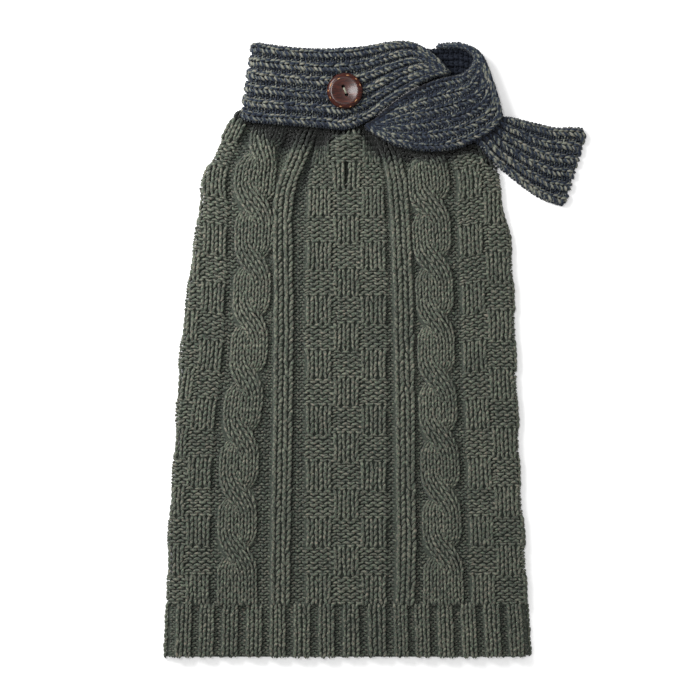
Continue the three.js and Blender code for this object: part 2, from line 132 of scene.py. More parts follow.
def columnAt(table, key, place, column):
    # smooth value of a table's column, at places given in its key column
    keys = np.asarray(table[key], float)
    values = np.asarray(table[column], float)
    slopes = np.gradient(values, keys)
    place = np.clip(np.asarray(place, float), keys[0], keys[-1])
    i = np.clip(np.searchsorted(keys, place, side="right") - 1, 0, len(keys) - 2)
    span = keys[i + 1] - keys[i]
    t = (place - keys[i]) / span
    rise = 3 * (values[i + 1] - values[i]) - (2 * slopes[i] + slopes[i + 1]) * span
    bend = 2 * (values[i] - values[i + 1]) + (slopes[i] + slopes[i + 1]) * span
    return ((bend * t + rise) * t + slopes[i] * span) * t + values[i]


def smooth(value, low, high):
    t = np.clip((np.asarray(value, float) - low) / (high - low), 0, 1)
    return t * t * (3 - 2 * t)


def mix(a, b, t):
    return a + (b - a) * t


def courseY(x, course):
    # how far along the body a course lies, which differs from the centre to the sides
    away = np.abs(x - body["panelCentre"])
    outer = smooth(away, 30, 60)
    side = smooth(away, 75, 100)
    pitch = mix(mix(body["pitchCentre"], body["pitchCable"], outer), body["pitchSide"], side)
    blocks = course / body["coursesPerBlock"]
    bow = body["centreBow"] * (1 - outer) * np.sin(np.pi * np.clip(blocks, 0, 16) / 16)
    return body["hemTop"] + blocks * pitch + bow


def waleAnchors(y):
    # boundaries between the groups of wales, for places along the body
    line = {name: columnAt(bodyLines, "y", y, name) for name in bodyLines if name != "y"}
    innerL = line["cableL"] - line["cable"] - body["gutter"]
    innerR = line["cableR"] + line["cable"] + body["gutter"]
    centre, rib, third = body["panelCentre"], body["ribHalf"], line["middle"]
    places = [
        innerL - 2 * body["sideBlock"], innerL - body["sideBlock"], innerL,
        line["cableL"] - line["cable"], line["cableL"] + line["cable"],
        line["ribL"] - rib, line["ribL"] + rib,
        centre - line["half"], centre - third, centre + third, centre + line["half"],
        line["ribR"] - rib, line["ribR"] + rib,
        line["cableR"] - line["cable"], line["cableR"] + line["cable"],
        innerR, innerR + body["sideBlock"], innerR + 2 * body["sideBlock"],
    ]
    return np.stack([np.broadcast_to(place, np.shape(y)) for place in places], axis=-1)


def groupAt(wale):
    return np.clip(np.searchsorted(groupStarts, wale, side="right") - 1, 0, len(groups) - 1)


def waleX(wale, y):
    anchors = waleAnchors(y)
    i = groupAt(wale)
    start = np.take_along_axis(anchors, i[..., None], axis=-1)[..., 0]
    end = np.take_along_axis(anchors, i[..., None] + 1, axis=-1)[..., 0]
    across = np.clip((wale - groupStarts[i]) / (groupStarts[i + 1] - groupStarts[i]), 0, 1)
    beyond = np.minimum(wale, 0) + np.maximum(wale - waleCount, 0)
    return start + (end - start) * across + beyond * body["sideBlock"] / 3


def knitsAt(kind, block):
    if kind in ("cable", "rib"):
        return np.ones(np.shape(block), bool)
    if kind == "gutter":
        return np.zeros(np.shape(block), bool)
    return (block % 2 == 1) == (kind == "odd")


def cableLay(wale, course, start):
    # one strand of three wales sweeps over the other, which slips under it in a shorter way
    blocks = course / body["coursesPerBlock"]
    since = blocks - pattern["crossingAt"]
    crossing = np.maximum(0, np.round(since / pattern["crossingEvery"]))
    length = pattern["crossingLength"]
    turn = np.clip((since - crossing * pattern["crossingEvery"]) / length + 0.5, 0, 1)
    first = wale - start < 3
    over = (crossing % 2 == 0) == first
    side = np.where(over, 1.0, -1.0)
    slip = 1 - 2 * smooth(turn, 0.08, 0.92)
    offset = wale - start - np.where(first, 1.5, 4.5)
    slope = np.where(over, 1.5 * np.pi * np.sin(turn * np.pi) / (length * body["coursesPerBlock"]), 0)
    spread = 1 + np.where(over, 0.1, -0.15) * np.sin(turn * np.pi)
    moved = start + 3 + 1.5 * side * np.where(over, np.cos(turn * np.pi), slip) + offset * spread
    whole = pattern["strand"] * (1 - 0.75 * np.abs((moved - start - 3) / 3) ** 2.5)
    ridge = pattern["over"] * (1 - 0.5 * np.abs(offset / 1.5) ** 3)
    middle = 0.5 - np.abs(turn - 0.5)
    height = np.where(
        over,
        mix(whole, ridge, smooth(middle, 0.05, 0.35)),
        mix(whole, pattern["under"], smooth(middle, 0.15, 0.4)),
    )
    return moved, offset * slope, height


def blockLay(wale, course, start, wide, kind):
    blocks = course / body["coursesPerBlock"]
    block = np.floor(blocks)
    knits = knitsAt(kind, block)
    along = np.abs(2 * (blocks - block) - 1)
    across = 2 * (wale - start) / wide - 1
    ends = 1 - along ** 4
    knit = pattern["knit"] + pattern["crown"] * (0.5 - along ** 2) + 0.2 * np.abs(across)
    purl = pattern["purl"] + pattern["crown"] * (1.2 * along ** 3 - 0.8 * np.abs(across) ** 3)
    pull = np.where(knits, -pattern["knitPull"], 0.4 * pattern["knitPull"]) * ends
    return wale + across * wide / 2 * pull, np.where(knits, knit, purl)


def bodyLay(wale, course):
    # where each wale really lies, how far its course shifts, and how high its cloth is raised
    moved = np.array(wale, float)
    shift = np.zeros(wale.shape)
    height = np.zeros(wale.shape)
    which = groupAt(wale)
    for i, (kind, wide) in enumerate(groups):
        here = which == i
        if not here.any():
            continue
        start = groupStarts[i]
        w, c = wale[here], course[here]
        if kind == "cable":
            moved[here], shift[here], height[here] = cableLay(w, c, start)
        elif kind == "rib":
            height[here] = pattern["rib"] * (1 - 0.3 * np.abs(w - start - 1) ** 2)
        elif kind == "gutter":
            height[here] = pattern["gutter"]
        else:
            moved[here], height[here] = blockLay(w, c, start, wide, kind)
    return moved, shift, height


def creaseAt(fold, x, y):
    # 1 in the middle of a crease, fading over its width and along its length
    down = (fold["y"] - y) / fold["length"]
    aside = (x - fold["x"] - fold["slant"] * (fold["y"] - y)) / fold["width"]
    return np.exp(-aside ** 2 - (down * 1.6) ** 2)


def pressed(x, y, height):
    # the pattern is pressed flat under the collar, and the neck's creases sink into it
    clear = columnAt(collarEdge, "x", x, "y") - y
    reach = columnAt(collarHang, "x", x, "reach")
    free = smooth(clear / reach, 0.2, 1)
    relief = height * free - 1.3 * (1 - free)
    for fold in neckFolds:
        relief = relief - fold["depth"] * creaseAt(fold, x, y) * smooth(clear, 0, 7)
    return np.maximum(relief, pattern["deepest"])


def foldShade(points):
    # painted shade: yarn deep in a crease or close under the collar is coloured darker, as it would catch
    # less light there
    x, y = points[:, 0], points[:, 1]
    clear = columnAt(collarEdge, "x", x, "y") - y
    shade = 3.2 * (1 - smooth(clear / columnAt(collarHang, "x", x, "reach"), 0.4, 1.15))
    for fold in neckFolds:
        shade = shade + 0.95 * max(fold["depth"], 0) * creaseAt(fold, x, y)
    return shade


def rollOver(x, y, height, left, right):
    # cloth that passes a side goes down round its fold
    radius = body["foldRadius"]
    past = np.maximum(x - (right - radius), 0) - np.maximum((left + radius) - x, 0)
    angle = np.clip(past / radius, -0.93 * np.pi, 0.93 * np.pi)
    flatX = np.clip(x, left + radius, right - radius)
    up = radius + height
    z = body["backTop"] - radius + np.cos(angle) * up
    return np.stack([flatX + np.sin(angle) * up, y, np.maximum(z, 0.2)], axis=-1)


def bodyPoints(wale, course, height, under=False):
    # points of the body's cloth; under gives the plain purl cloth beneath the cables
    wale, course, height = np.broadcast_arrays(np.asarray(wale, float), np.asarray(course, float), height)
    if under:
        moved, shift, relief = wale, 0.0, np.full(wale.shape, pattern["gutter"])
    else:
        moved, shift, relief = bodyLay(wale, course)
    course = course + shift
    y = courseY(0.0, course)
    for step in range(4):
        x = waleX(moved, y)
        y = courseY(x, course)
    clear = slit["length"] / 2 - np.abs(y - slit["y"])
    aside = x - slit["x"]
    x = x + slit["spread"] * smooth(clear, -2, 5) * np.sign(aside) * np.exp(-np.abs(aside) / 3)
    wave = body["edgeWave"] * np.tanh(2.5 * np.cos(np.pi * (course / body["coursesPerBlock"] - 0.5)))
    left = columnAt(bodyLines, "y", y, "left") - wave
    right = columnAt(bodyLines, "y", y, "right") + wave
    edge = smooth(np.minimum(x - left, right - x), 1.5, 9)
    relief = pressed(x, y, relief) * mix(0.35, 1, edge)
    return rollOver(x, y, relief + height, left, right)


# The hem's cloth: fifteen ribs of two wales with a purl gutter between

hem = {
    "ribs": 15,
    "courses": 11,
    "relief": 1.5,
    "groove": -1.7,
    "gutterWidth": 0.3,  # of one rib and gutter
    "middle": 0.3,
    "width": 253.4,
    "number": [-1, 0, 1, 2, 3, 4, 5, 6, 7, 8, 9, 10, 11, 12, 13, 14, 15, 16],
    "gutters": [  # middles of the gutters at the hem's end
        -140, -123.4, -106.8, -91, -73.9, -57.1, -40.6, -23.1, -6, 11.6, 30.4, 45.2, 60.9, 77.7, 93.8,
        110.6, 126.4, 142,
    ],
}


def hemPoints(wale, course, height, under=False):
    # course 0 is the hem's end, and courses run up to the body; under gives the gutters' level
    wale, course, height = np.broadcast_arrays(np.asarray(wale, float), np.asarray(course, float), height)
    y = body["hemEnd"] + 1 + course * (body["hemTop"] - body["hemEnd"] - 1) / hem["courses"]
    left = columnAt(bodyLines, "y", y, "left")
    right = columnAt(bodyLines, "y", y, "right")
    rib = np.floor(wale / 3)
    within = wale - 3 * rib
    inRib = within < 2
    ribWide = 1 - hem["gutterWidth"]
    share = np.where(inRib, within / 2 * ribWide, ribWide + (within - 2) * hem["gutterWidth"])
    x = columnAt(hem, "number", rib + share + hem["gutterWidth"] / 2, "gutters")
    x = (left + right) / 2 + (x - hem["middle"]) * (right - left) / hem["width"]
    rounded = hem["relief"] * (1 - 0.4 * np.abs(within - 1) ** 2.5)
    relief = np.where(inRib & (not under), rounded, hem["groove"])
    sway = 0.5 * np.sin(x / 17) * (1 - course / hem["courses"])
    return rollOver(x, y + sway, relief + height, left, right)


# The belly: plain cloth under the back, with two leg holes, its hem ribbed as the back's

belly = {
    "wales": 38,
    "coursePitch": 4.5,
    "inset": 1.6,
    "level": 1.45,  # where its yarn lies, above the surface
    "top": 2.7,
    "lowest": 0.9,
    "highest": 2.6,
}

legHoles = {"x": 58.0, "y": 78.0, "halfWidth": 21.0, "halfLength": 31.0, "tilt": 0.12}


def bellyPoints(wale, course, height):
    # wales run from side to side; its knit face is the one it lies on
    wale, course, height = np.broadcast_arrays(np.asarray(wale, float), np.asarray(course, float), height)
    y = body["hemEnd"] + 1 + course * belly["coursePitch"]
    left = columnAt(bodyLines, "y", y, "left") + belly["inset"]
    right = columnAt(bodyLines, "y", y, "right") - belly["inset"]
    x = left + (right - left) * wale / belly["wales"]
    past = np.maximum(x - (right - 2), 0) - np.maximum(left + 2 - x, 0)
    z = belly["level"] - height + 0.32 * np.abs(past) ** 1.5
    x = np.clip(x, left + 0.6, right - 0.6)
    return np.stack([x, y, np.clip(z, belly["lowest"], belly["highest"])], axis=-1)


def holeDistance(x, y):
    # 1 on the edge of the nearer leg hole, less inside it
    side = np.where(x < 0, -1, 1)
    turn = side * legHoles["tilt"]
    dx, dy = x - side * legHoles["x"], y - legHoles["y"]
    u = dx * np.cos(turn) + dy * np.sin(turn)
    v = -dx * np.sin(turn) + dy * np.cos(turn)
    return np.hypot(u / legHoles["halfWidth"], v / legHoles["halfLength"])


# The collar's cloth, cut across its length: the inner edge is the one nearer the neck hole

frontSections = {
    "groove": -2.6,  # how deep the purl between its ribs lies
    "ribWidth": 0.74,  # of one rib and groove
    "inX": [-67.4, -67.2, -66.4, -64.4, -61.4, -56, -40, -22, -2, 14, 27, 38.6, 49.6, 59, 67, 70],
    "inY": [
        214.2, 214.3, 214.4, 214.4, 214.2, 213.4, 211.4, 210.2,
        210.8, 212.2, 214.5, 215.4, 212.8, 206.8, 199.6, 196.6,
    ],
    "outX": [
        -75.2, -75.0, -74.2, -71.4, -66.4, -58.6, -40.4, -19.6,
        0.4, 15.6, 27, 38.4, 52.6, 62.4, 69.4, 71.4,
    ],
    "outY": [
        163.2, 163.0, 162.0, 160.6, 159.4, 158.8, 157.4, 155.8,
        154.7, 161.4, 170.4, 178.8, 187, 190.8, 192.2, 192.6,
    ],
    "high": [1.4, 4.6, 8.2, 10.4, 11.6, 11.9, 12, 12.1, 12.2, 12.6, 13.2, 13.6, 13.2, 12, 10.4, 8.6],
    "scalloped": 1,
}

loopSections = {
    "groove": -0.5,
    "ribWidth": 0.78,
    "inX": [13.6, 18, 28.6, 41, 54.4, 66, 74.6, 79.6, 83, 86, 87.8, 88.6, 85, 78.6, 70, 61.8],
    "inY": [
        158.4, 160.6, 169.6, 178.6, 185.8, 189.8, 191.2, 192.6,
        194.8, 197.4, 200.8, 204.6, 208.4, 210.4, 210.4, 210.2,
    ],
    "outX": [12.6, 19.6, 31, 46, 61, 76, 89.4, 100.8, 107.6, 106, 102.2, 98.6, 93, 81.4, 70, 61.2],
    "outY": [
        154.6, 150.4, 144.2, 140.3, 139.2, 141.2, 146.4, 152.8,
        162, 172, 184, 195.2, 206.6, 213.2, 213.8, 212.6,
    ],
    "high": [10, 10.8, 11.4, 11.9, 12.3, 12.8, 13.2, 13.2, 12.8, 12.4, 12, 11.6, 11.2, 10.6, 9.6, 8.4],
}

tailSections = {
    "groove": -2.0,
    "ribWidth": 0.72,
    "inX": [108, 112.2, 116.4, 124, 134.6, 146, 157, 165.4, 166.8],
    "inY": [163, 162.2, 161.6, 160.2, 157.8, 155.5, 155.6, 153.8, 150.4],
    "outX": [88, 93.4, 99.2, 113.2, 126.2, 138.2, 146.8, 151.6, 152.6],
    "outY": [146, 141.6, 134.4, 122.4, 112.2, 105.2, 102.4, 101.8, 102.6],
    "high": [10.2, 10.2, 9, 6.8, 5.8, 5.6, 5.6, 5.2, 4.2],
}

rearSections = {
    "groove": -1.2,
    "ribWidth": 0.7,
    "inX": [50, 60, 70, 80, 88],
    "inY": [210.4, 210.4, 211.2, 211.0, 207.5],
    "outX": [50, 60, 70, 80, 88],
    "outY": [184, 184, 184, 184, 184],
    "high": [5.4, 5.4, 5.4, 5.4, 5.4],
}

collar = {
    "ribs": 6,
    "rounding": 0.8,  # how far a rib's sides sink
    "coursePitch": 3.55,
    "sideRadius": 1.5,
    "underYarn": 1.1,  # from a section's height down to the middle of the yarn
    "scallop": 1.5,  # how far ribs stand out at the front's folded end
}


def bandTable(sections):
    middle = [(np.array(sections["in" + axis]) + np.array(sections["out" + axis])) / 2 for axis in "XY"]
    steps = np.sqrt(np.diff(middle[0]) ** 2 + np.diff(middle[1]) ** 2 + np.diff(sections["high"]) ** 2)
    return dict(sections, at=np.concatenate([[0], np.cumsum(steps)]))


def bandRails(table, along):
    value = {name: columnAt(table, "at", along, name) for name in ("inX", "inY", "outX", "outY", "high")}
    inner = np.stack([value["inX"], value["inY"], value["high"]], axis=-1)
    outer = np.stack([value["outX"], value["outY"], value["high"]], axis=-1)
    return inner, outer


def bandPoints(table, wale, course, height):
    # wales run across the band, one knit and one purl in turn; beyond its edges they go down its sides
    wale, course, height = np.broadcast_arrays(np.asarray(wale, float), np.asarray(course, float), height)
    along = np.clip(course * collar["coursePitch"], 0.3, table["at"][-1] - 0.3)
    spare = (course * collar["coursePitch"] - along)[..., None]
    inner, outer = bandRails(table, along)
    behindIn, behindOut = bandRails(table, along - 0.3)
    aheadIn, aheadOut = bandRails(table, along + 0.3)
    wales = 2 * collar["ribs"] - 1
    pair = np.floor(np.clip(wale, 0, wales) / 2)
    within = np.clip(wale, 0, wales) - 2 * pair
    inRib = within < 1
    ribWide = table["ribWidth"]
    step = np.where(inRib, within * ribWide, ribWide + (within - 1) * (1 - ribWide))
    share = np.clip((pair + step) / (collar["ribs"] - 1 + ribWide), 0, 1)[..., None]
    across = outer - inner
    width = np.maximum(np.linalg.norm(across, axis=-1, keepdims=True), 1e-6)
    across = across / width
    forward = mix(aheadIn - behindIn, aheadOut - behindOut, share)
    forward = forward / np.maximum(np.linalg.norm(forward, axis=-1, keepdims=True), 1e-6)
    normal = np.cross(across, forward)
    normal = normal / np.maximum(np.linalg.norm(normal, axis=-1, keepdims=True), 1e-6)
    squeeze = np.clip(width[..., 0] / 35, 0.25, 1)
    groove = table["groove"] * np.sin(np.pi * np.clip(within - 1, 0, 1)) ** 0.7
    relief = np.where(inRib, -collar["rounding"] * np.abs(2 * within - 1) ** 3, groove) * squeeze
    bulge = np.where(inRib, 1 - np.abs(2 * within - 1) ** 3, 0) - 0.5
    scallop = collar["scallop"] * bulge * (1 - smooth(along, 2, 9))
    spare = spare - scallop[..., None] * table.get("scalloped", 0)
    past = np.maximum(wale - wales, 0) - np.maximum(-wale, 0)
    angle = np.clip(past * 1.9, -np.pi / 2, np.pi / 2)[..., None]
    lower = np.maximum(np.abs(past) * 1.9 - np.pi / 2, 0) * 1.6
    radius = collar["sideRadius"]
    flat = np.clip(share * width, radius, np.maximum(width - radius, radius))
    up = (radius + relief + height)[..., None]
    points = inner + across * (flat + np.sin(angle) * up) + forward * spare
    points = points + normal * (np.cos(angle) * up - radius - collar["underYarn"])
    points[..., 2] = np.maximum(points[..., 2] - lower, 0.3)
    return points


# Yarn: every visible leg and loop of a stitch is one fat, tapered length of yarn

yarn = {
    "sides": 4,
    "bellySides": 3,
    "bodyRadius": 1.07,
    "cableRadius": 0.92,
    "ribRadius": 1.25,
    "lowRadius": 0.98,
    "collarRadius": 1.36,
    "grooveRadius": 0.9,
    "bellyRadius": 1.0,
    "uneven": 0.1,
    "sageLook": ((2.0, 2.5), 0.5, 0.0),  # how far shades wander, how wildly, and how much darker
    # painted shade: the darker amounts of sageLow, marlLow and marlShaded colour yarn low in gutters and
    # grooves, and the collar's rear strand, as if in shade
    "sageLow": ((2.0, 2.5), 0.5, 0.45),
    "marlLook": ((1.5, 2.6), 0.6, 0.13),
    "marlLow": ((1.5, 2.6), 0.6, 0.4),
    "marlShaded": ((1.2, 1.8), 0.6, 0.9),
}

knitLeg = np.array([  # wale from the stitch's middle, course, height, thickness
    [-0.05, -0.34, -0.75, 0.42],
    [-0.14, -0.04, 0.12, 0.92],
    [-0.23, 0.32, 0.42, 1.04],
    [-0.31, 0.68, 0.28, 1.0],
    [-0.36, 1.06, -0.65, 0.46],
])

purlHead = np.array([  # arch over the top of a purl stitch
    [-0.46, 0.36, -0.75, 0.42],
    [-0.26, 0.59, 0.18, 0.86],
    [0.0, 0.68, 0.5, 0.96],
    [0.26, 0.59, 0.18, 0.86],
    [0.46, 0.36, -0.75, 0.42],
])

purlSinker = np.array([  # sagging yarn from one purl stitch to the next
    [0.04, 0.40, -0.75, 0.42],
    [0.24, 0.16, 0.15, 0.86],
    [0.5, 0.06, 0.45, 0.96],
    [0.76, 0.16, 0.15, 0.86],
    [0.96, 0.40, -0.75, 0.42],
])

purlEdge = np.array([  # the same yarn where it comes out from under a knit stitch at the left
    [-0.64, 0.08, -1.0, 0.5],
    [-0.52, 0.06, 0.05, 0.85],
    [-0.40, 0.08, 0.35, 0.94],
    [-0.22, 0.18, 0.15, 0.86],
    [-0.04, 0.40, -0.75, 0.42],
])

mirror = np.array([-1, 1, 1, 1])


def yarnTubes(paths, radii, chanceAndShade, sides):
    # paths: tubes x rings x 3; the result is points, faces and each point's place on its yarn, whose third
    # value is its stitch's random tone lowered by painted shade
    count, rings, _ = paths.shape
    tangent = np.gradient(paths, axis=1)
    tangent /= np.maximum(np.linalg.norm(tangent, axis=-1, keepdims=True), 1e-9)
    side = np.cross(tangent, np.array([0.0, 0.0, 1.0]))
    weak = np.linalg.norm(side, axis=-1, keepdims=True) < 0.2
    side = np.where(weak, np.cross(tangent, np.array([1.0, 0.0, 0.0])), side)
    side /= np.maximum(np.linalg.norm(side, axis=-1, keepdims=True), 1e-9)
    over = np.cross(side, tangent)
    turn = 2 * np.pi * (np.arange(sides) + 0.25) / sides
    ring = side[:, :, None] * np.cos(turn)[:, None] + over[:, :, None] * np.sin(turn)[:, None]
    points = paths[:, :, None] + ring * radii[:, :, None, None]
    firstTip = paths[:, 0] - tangent[:, 0] * radii[:, :1] * 0.6
    lastTip = paths[:, -1] + tangent[:, -1] * radii[:, -1:] * 0.6
    points = points.reshape(count, rings * sides, 3)
    points = np.concatenate([points, firstTip[:, None], lastTip[:, None]], axis=1)
    perTube = rings * sides + 2
    quads, caps = [], []
    for s in range(sides):
        nextSide = (s + 1) % sides
        for r in range(rings - 1):
            low, high = r * sides, (r + 1) * sides
            quads.append([low + s, low + nextSide, high + nextSide, high + s])
        caps.append([rings * sides, nextSide, s])
        caps.append([rings * sides + 1, (rings - 1) * sides + s, (rings - 1) * sides + nextSide])
    base = (np.arange(count) * perTube)[:, None, None]
    quads = (np.array(quads)[None] + base).reshape(-1, 4)
    caps = (np.array(caps)[None] + base).reshape(-1, 3)
    coords = np.zeros((count, perTube, 3))
    coords[:, : rings * sides, 0] = np.repeat(np.linspace(0, 1, rings), sides)
    coords[:, : rings * sides, 1] = np.tile(turn / (2 * np.pi), rings)
    coords[:, -1, 0] = 1
    coords[:, :, 2] = chanceAndShade[:, None]
    return points.reshape(-1, 3), quads, caps, coords.reshape(-1, 3)


def meshFrom(name, points, quads, triangles, coords=None):
    mesh = bpy.data.meshes.new(name)
    mesh.vertices.add(len(points))
    mesh.vertices.foreach_set("co", (np.asarray(points) * metres).astype(np.float32).ravel())
    loops = np.concatenate([np.asarray(quads).ravel(), np.asarray(triangles).ravel()]).astype(np.int32)
    mesh.loops.add(len(loops))
    mesh.loops.foreach_set("vertex_index", loops)
    sizes = np.concatenate([np.full(len(quads), 4), np.full(len(triangles), 3)]).astype(np.int32)
    mesh.polygons.add(len(sizes))
    starts = np.concatenate([[0], np.cumsum(sizes)[:-1]]).astype(np.int32)
    mesh.polygons.foreach_set("loop_start", starts)
    mesh.polygons.foreach_set("loop_total", sizes)
    mesh.polygons.foreach_set("use_smooth", np.ones(len(sizes), bool))
    if coords is not None:
        place = mesh.attributes.new("yarn", "FLOAT_VECTOR", "POINT")
        place.data.foreach_set("vector", coords.astype(np.float32).ravel())
    mesh.update(calc_edges=True)
    mesh.validate()
    piece = bpy.data.objects.new(name, mesh)
    bpy.context.scene.collection.objects.link(piece)
    return piece


counts = {}


def yarnPiece(name, paths, radii, chanceAndShade, material, sides):
    points, quads, caps, coords = yarnTubes(paths, radii, chanceAndShade, sides)
    points[:, 2] = np.maximum(points[:, 2], 0.02)
    piece = meshFrom(name, points, quads, caps, coords)
    piece.data.materials.append(material)
    counts[name] = len(quads) * 2 + len(caps)
    return piece


def drift(places, wander):
    # slowly changing chance over the cloth, from 0 to 1
    waves = rng.normal(0, 1, (14, 2)) / np.array(wander)
    phases = rng.random(14) * 2 * np.pi
    total = np.sin(places @ waves.T + phases).sum(axis=1) / math.sqrt(7)
    return 0.5 + 0.5 * np.tanh(total * 0.8)


def joinTubes(sets):
    return [np.concatenate(part) for part in zip(*sets)]


def knitPaths(cloth, places, radius, look, lean=1.0):
    # lean says how much the two legs of a stitch open upwards
    leg = knitLeg.copy()
    leg[:, 0] = -0.25 + (leg[:, 0] + 0.25) * lean
    return stitchPaths(cloth, places, (leg, leg * mirror), radius, look)


def purlPaths(cloth, places, radius, look):
    # each purl stitch has a head and the yarn to the next one, and the first in a row has an edge too
    known = {(wale, course) for wale, course in places.tolist()}
    edge = np.array([place for place in places.tolist() if (place[0] - 1, place[1]) not in known])
    return joinTubes([
        stitchPaths(cloth, places, (purlHead, purlSinker), radius, look),
        stitchPaths(cloth, edge, (purlEdge,), radius, look),
    ])


def stitchPaths(cloth, places, templates, radius, look):
    # places list the wale and course of each stitch's lower left corner
    wander, wild, darker = look
    paths, radii, chanceAndShade = [], [], []
    if len(places):
        calm = drift(places, wander)
        for template in templates:
            jitter = rng.normal(0, 1, (len(places), 4)) * np.array([0.035, 0.045, 0.13, yarn["uneven"]])
            wale = places[:, :1] + 0.5 + template[None, :, 0] + jitter[:, :1]
            course = places[:, 1:] + template[None, :, 1] + jitter[:, 1:2]
            paths.append(cloth(wale, course, template[None, :, 2] + jitter[:, 2:3]))
            radii.append(radius * template[None, :, 3] * (1 + jitter[:, 3:]))
            # a look's darker amount lowers each stitch's colour value; for sageLow, marlLow and marlShaded
            # it is painted shade
            chanceAndShade.append(mix(calm, rng.random(len(places)), wild) - darker)
    if not paths:
        return np.zeros((0, 5, 3)), np.zeros((0, 5)), np.zeros(0)
    return np.concatenate(paths), np.concatenate(radii), np.concatenate(chanceAndShade)


def gridPiece(name, top, under, material, hole=None, darker=None):
    # a closed shell between two grids of points, open where hole says, and darker as painted shade where
    # darker says
    rows, columns, _ = top.shape
    index = np.arange(rows * columns).reshape(rows, columns)
    corners = np.stack([index[:-1, :-1], index[:-1, 1:], index[1:, 1:], index[1:, :-1]], axis=-1)
    corners = corners.reshape(-1, 4)
    flatTop = top.reshape(-1, 3)
    if hole is not None:
        corners = corners[~hole(flatTop[corners].mean(axis=1))]
    count = rows * columns
    edges = {}
    for face in corners.tolist():
        for a, b in zip(face, face[1:] + face[:1]):
            if (b, a) in edges:
                del edges[(b, a)]
            else:
                edges[(a, b)] = True
    rim = np.array([[b, a, a + count, b + count] for a, b in edges])
    quads = np.concatenate([corners, corners[:, ::-1] + count, rim])
    points = np.concatenate([flatTop, under.reshape(-1, 3)])
    coords = np.zeros((len(points), 3))
    if darker is not None:
        coords[:, 2] = -darker(points)
    piece = meshFrom(name, points, quads, np.zeros((0, 3), int), coords)
    piece.data.materials.append(material)
    counts[name] = len(quads) * 2
    return piece


# Materials

def newMaterial(name):
    material = bpy.data.materials.new(name)
    material.use_nodes = True
    tree = material.node_tree
    return material, tree, tree.nodes["Principled BSDF"]


def setNode(tree, kind, links=(), **values):
    # makes a node, sets its inputs by name and links sockets to them
    node = tree.nodes.new(kind)
    for name, value in values.items():
        setattr(node, name, value)
    for name, source in links:
        tree.links.new(source, node.inputs[name])
    return node


def mathNode(tree, operation, first, second=0.0):
    node = tree.nodes.new("ShaderNodeMath")
    node.operation = operation
    for at, value in enumerate((first, second)):
        if isinstance(value, (int, float)):
            node.inputs[at].default_value = value
        else:
            tree.links.new(value, node.inputs[at])
    return node.outputs[0]


def noiseNode(tree, scale, detail, position):
    noise = setNode(tree, "ShaderNodeTexNoise", [("Vector", position)])
    noise.inputs["Scale"].default_value = scale
    noise.inputs["Detail"].default_value = detail
    return noise.outputs["Fac"]


def rampNode(tree, fac, stops):
    ramp = tree.nodes.new("ShaderNodeValToRGB")
    while len(ramp.color_ramp.elements) < len(stops):
        ramp.color_ramp.elements.new(0.5)
    for element, (place, colour) in zip(ramp.color_ramp.elements, stops):
        element.position = place
        element.color = (*colour, 1)
    tree.links.new(fac, ramp.inputs["Fac"])
    return ramp.outputs["Color"]


def addInputs(group, defaults):
    for name, default in defaults:
        socket = group.interface.new_socket(name=name, in_out="INPUT", socket_type="NodeSocketFloat")
        socket.default_value = default


def makePlyGroup():
    # two plies twisted round each other, read from each length of yarn's own coordinates
    group = bpy.data.node_groups.new("Twisted plies", "ShaderNodeTree")
    addInputs(group, (("Twists", 1.2), ("Strands", 1.0), ("Fibre scale", 1500.0)))
    for name in ("Ply", "Height", "ChanceAndShade"):
        group.interface.new_socket(name=name, in_out="OUTPUT", socket_type="NodeSocketFloat")
    inside = group.nodes.new("NodeGroupInput")
    outside = group.nodes.new("NodeGroupOutput")
    place = setNode(group, "ShaderNodeAttribute", attribute_name="yarn")
    parts = setNode(group, "ShaderNodeSeparateXYZ", [("Vector", place.outputs["Vector"])])
    twisted = mathNode(group, "MULTIPLY", parts.outputs["X"], inside.outputs["Twists"])
    around = mathNode(group, "MULTIPLY", parts.outputs["Y"], inside.outputs["Strands"])
    turned = mathNode(group, "ADD", twisted, around)
    phase = mathNode(group, "ADD", turned, mathNode(group, "MULTIPLY", parts.outputs["Z"], 7.0))
    wave = mathNode(group, "SINE", mathNode(group, "MULTIPLY", phase, 2 * math.pi))
    ply = mathNode(group, "ADD", mathNode(group, "MULTIPLY", wave, 0.5), 0.5)
    position = group.nodes.new("ShaderNodeNewGeometry")
    fibre = setNode(group, "ShaderNodeTexNoise", [
        ("Vector", position.outputs["Position"]), ("Scale", inside.outputs["Fibre scale"]),
    ])
    fibre.inputs["Detail"].default_value = 3
    ridge = mathNode(group, "MULTIPLY", mathNode(group, "ABSOLUTE", wave), 0.7)
    group.links.new(ply, outside.inputs["Ply"])
    group.links.new(mathNode(group, "ADD", ridge, fibre.outputs["Fac"]), outside.inputs["Height"])
    # the third value: each stitch's random tone, lowered where shade is painted
    group.links.new(parts.outputs["Z"], outside.inputs["ChanceAndShade"])
    return group


plyGroup = makePlyGroup()


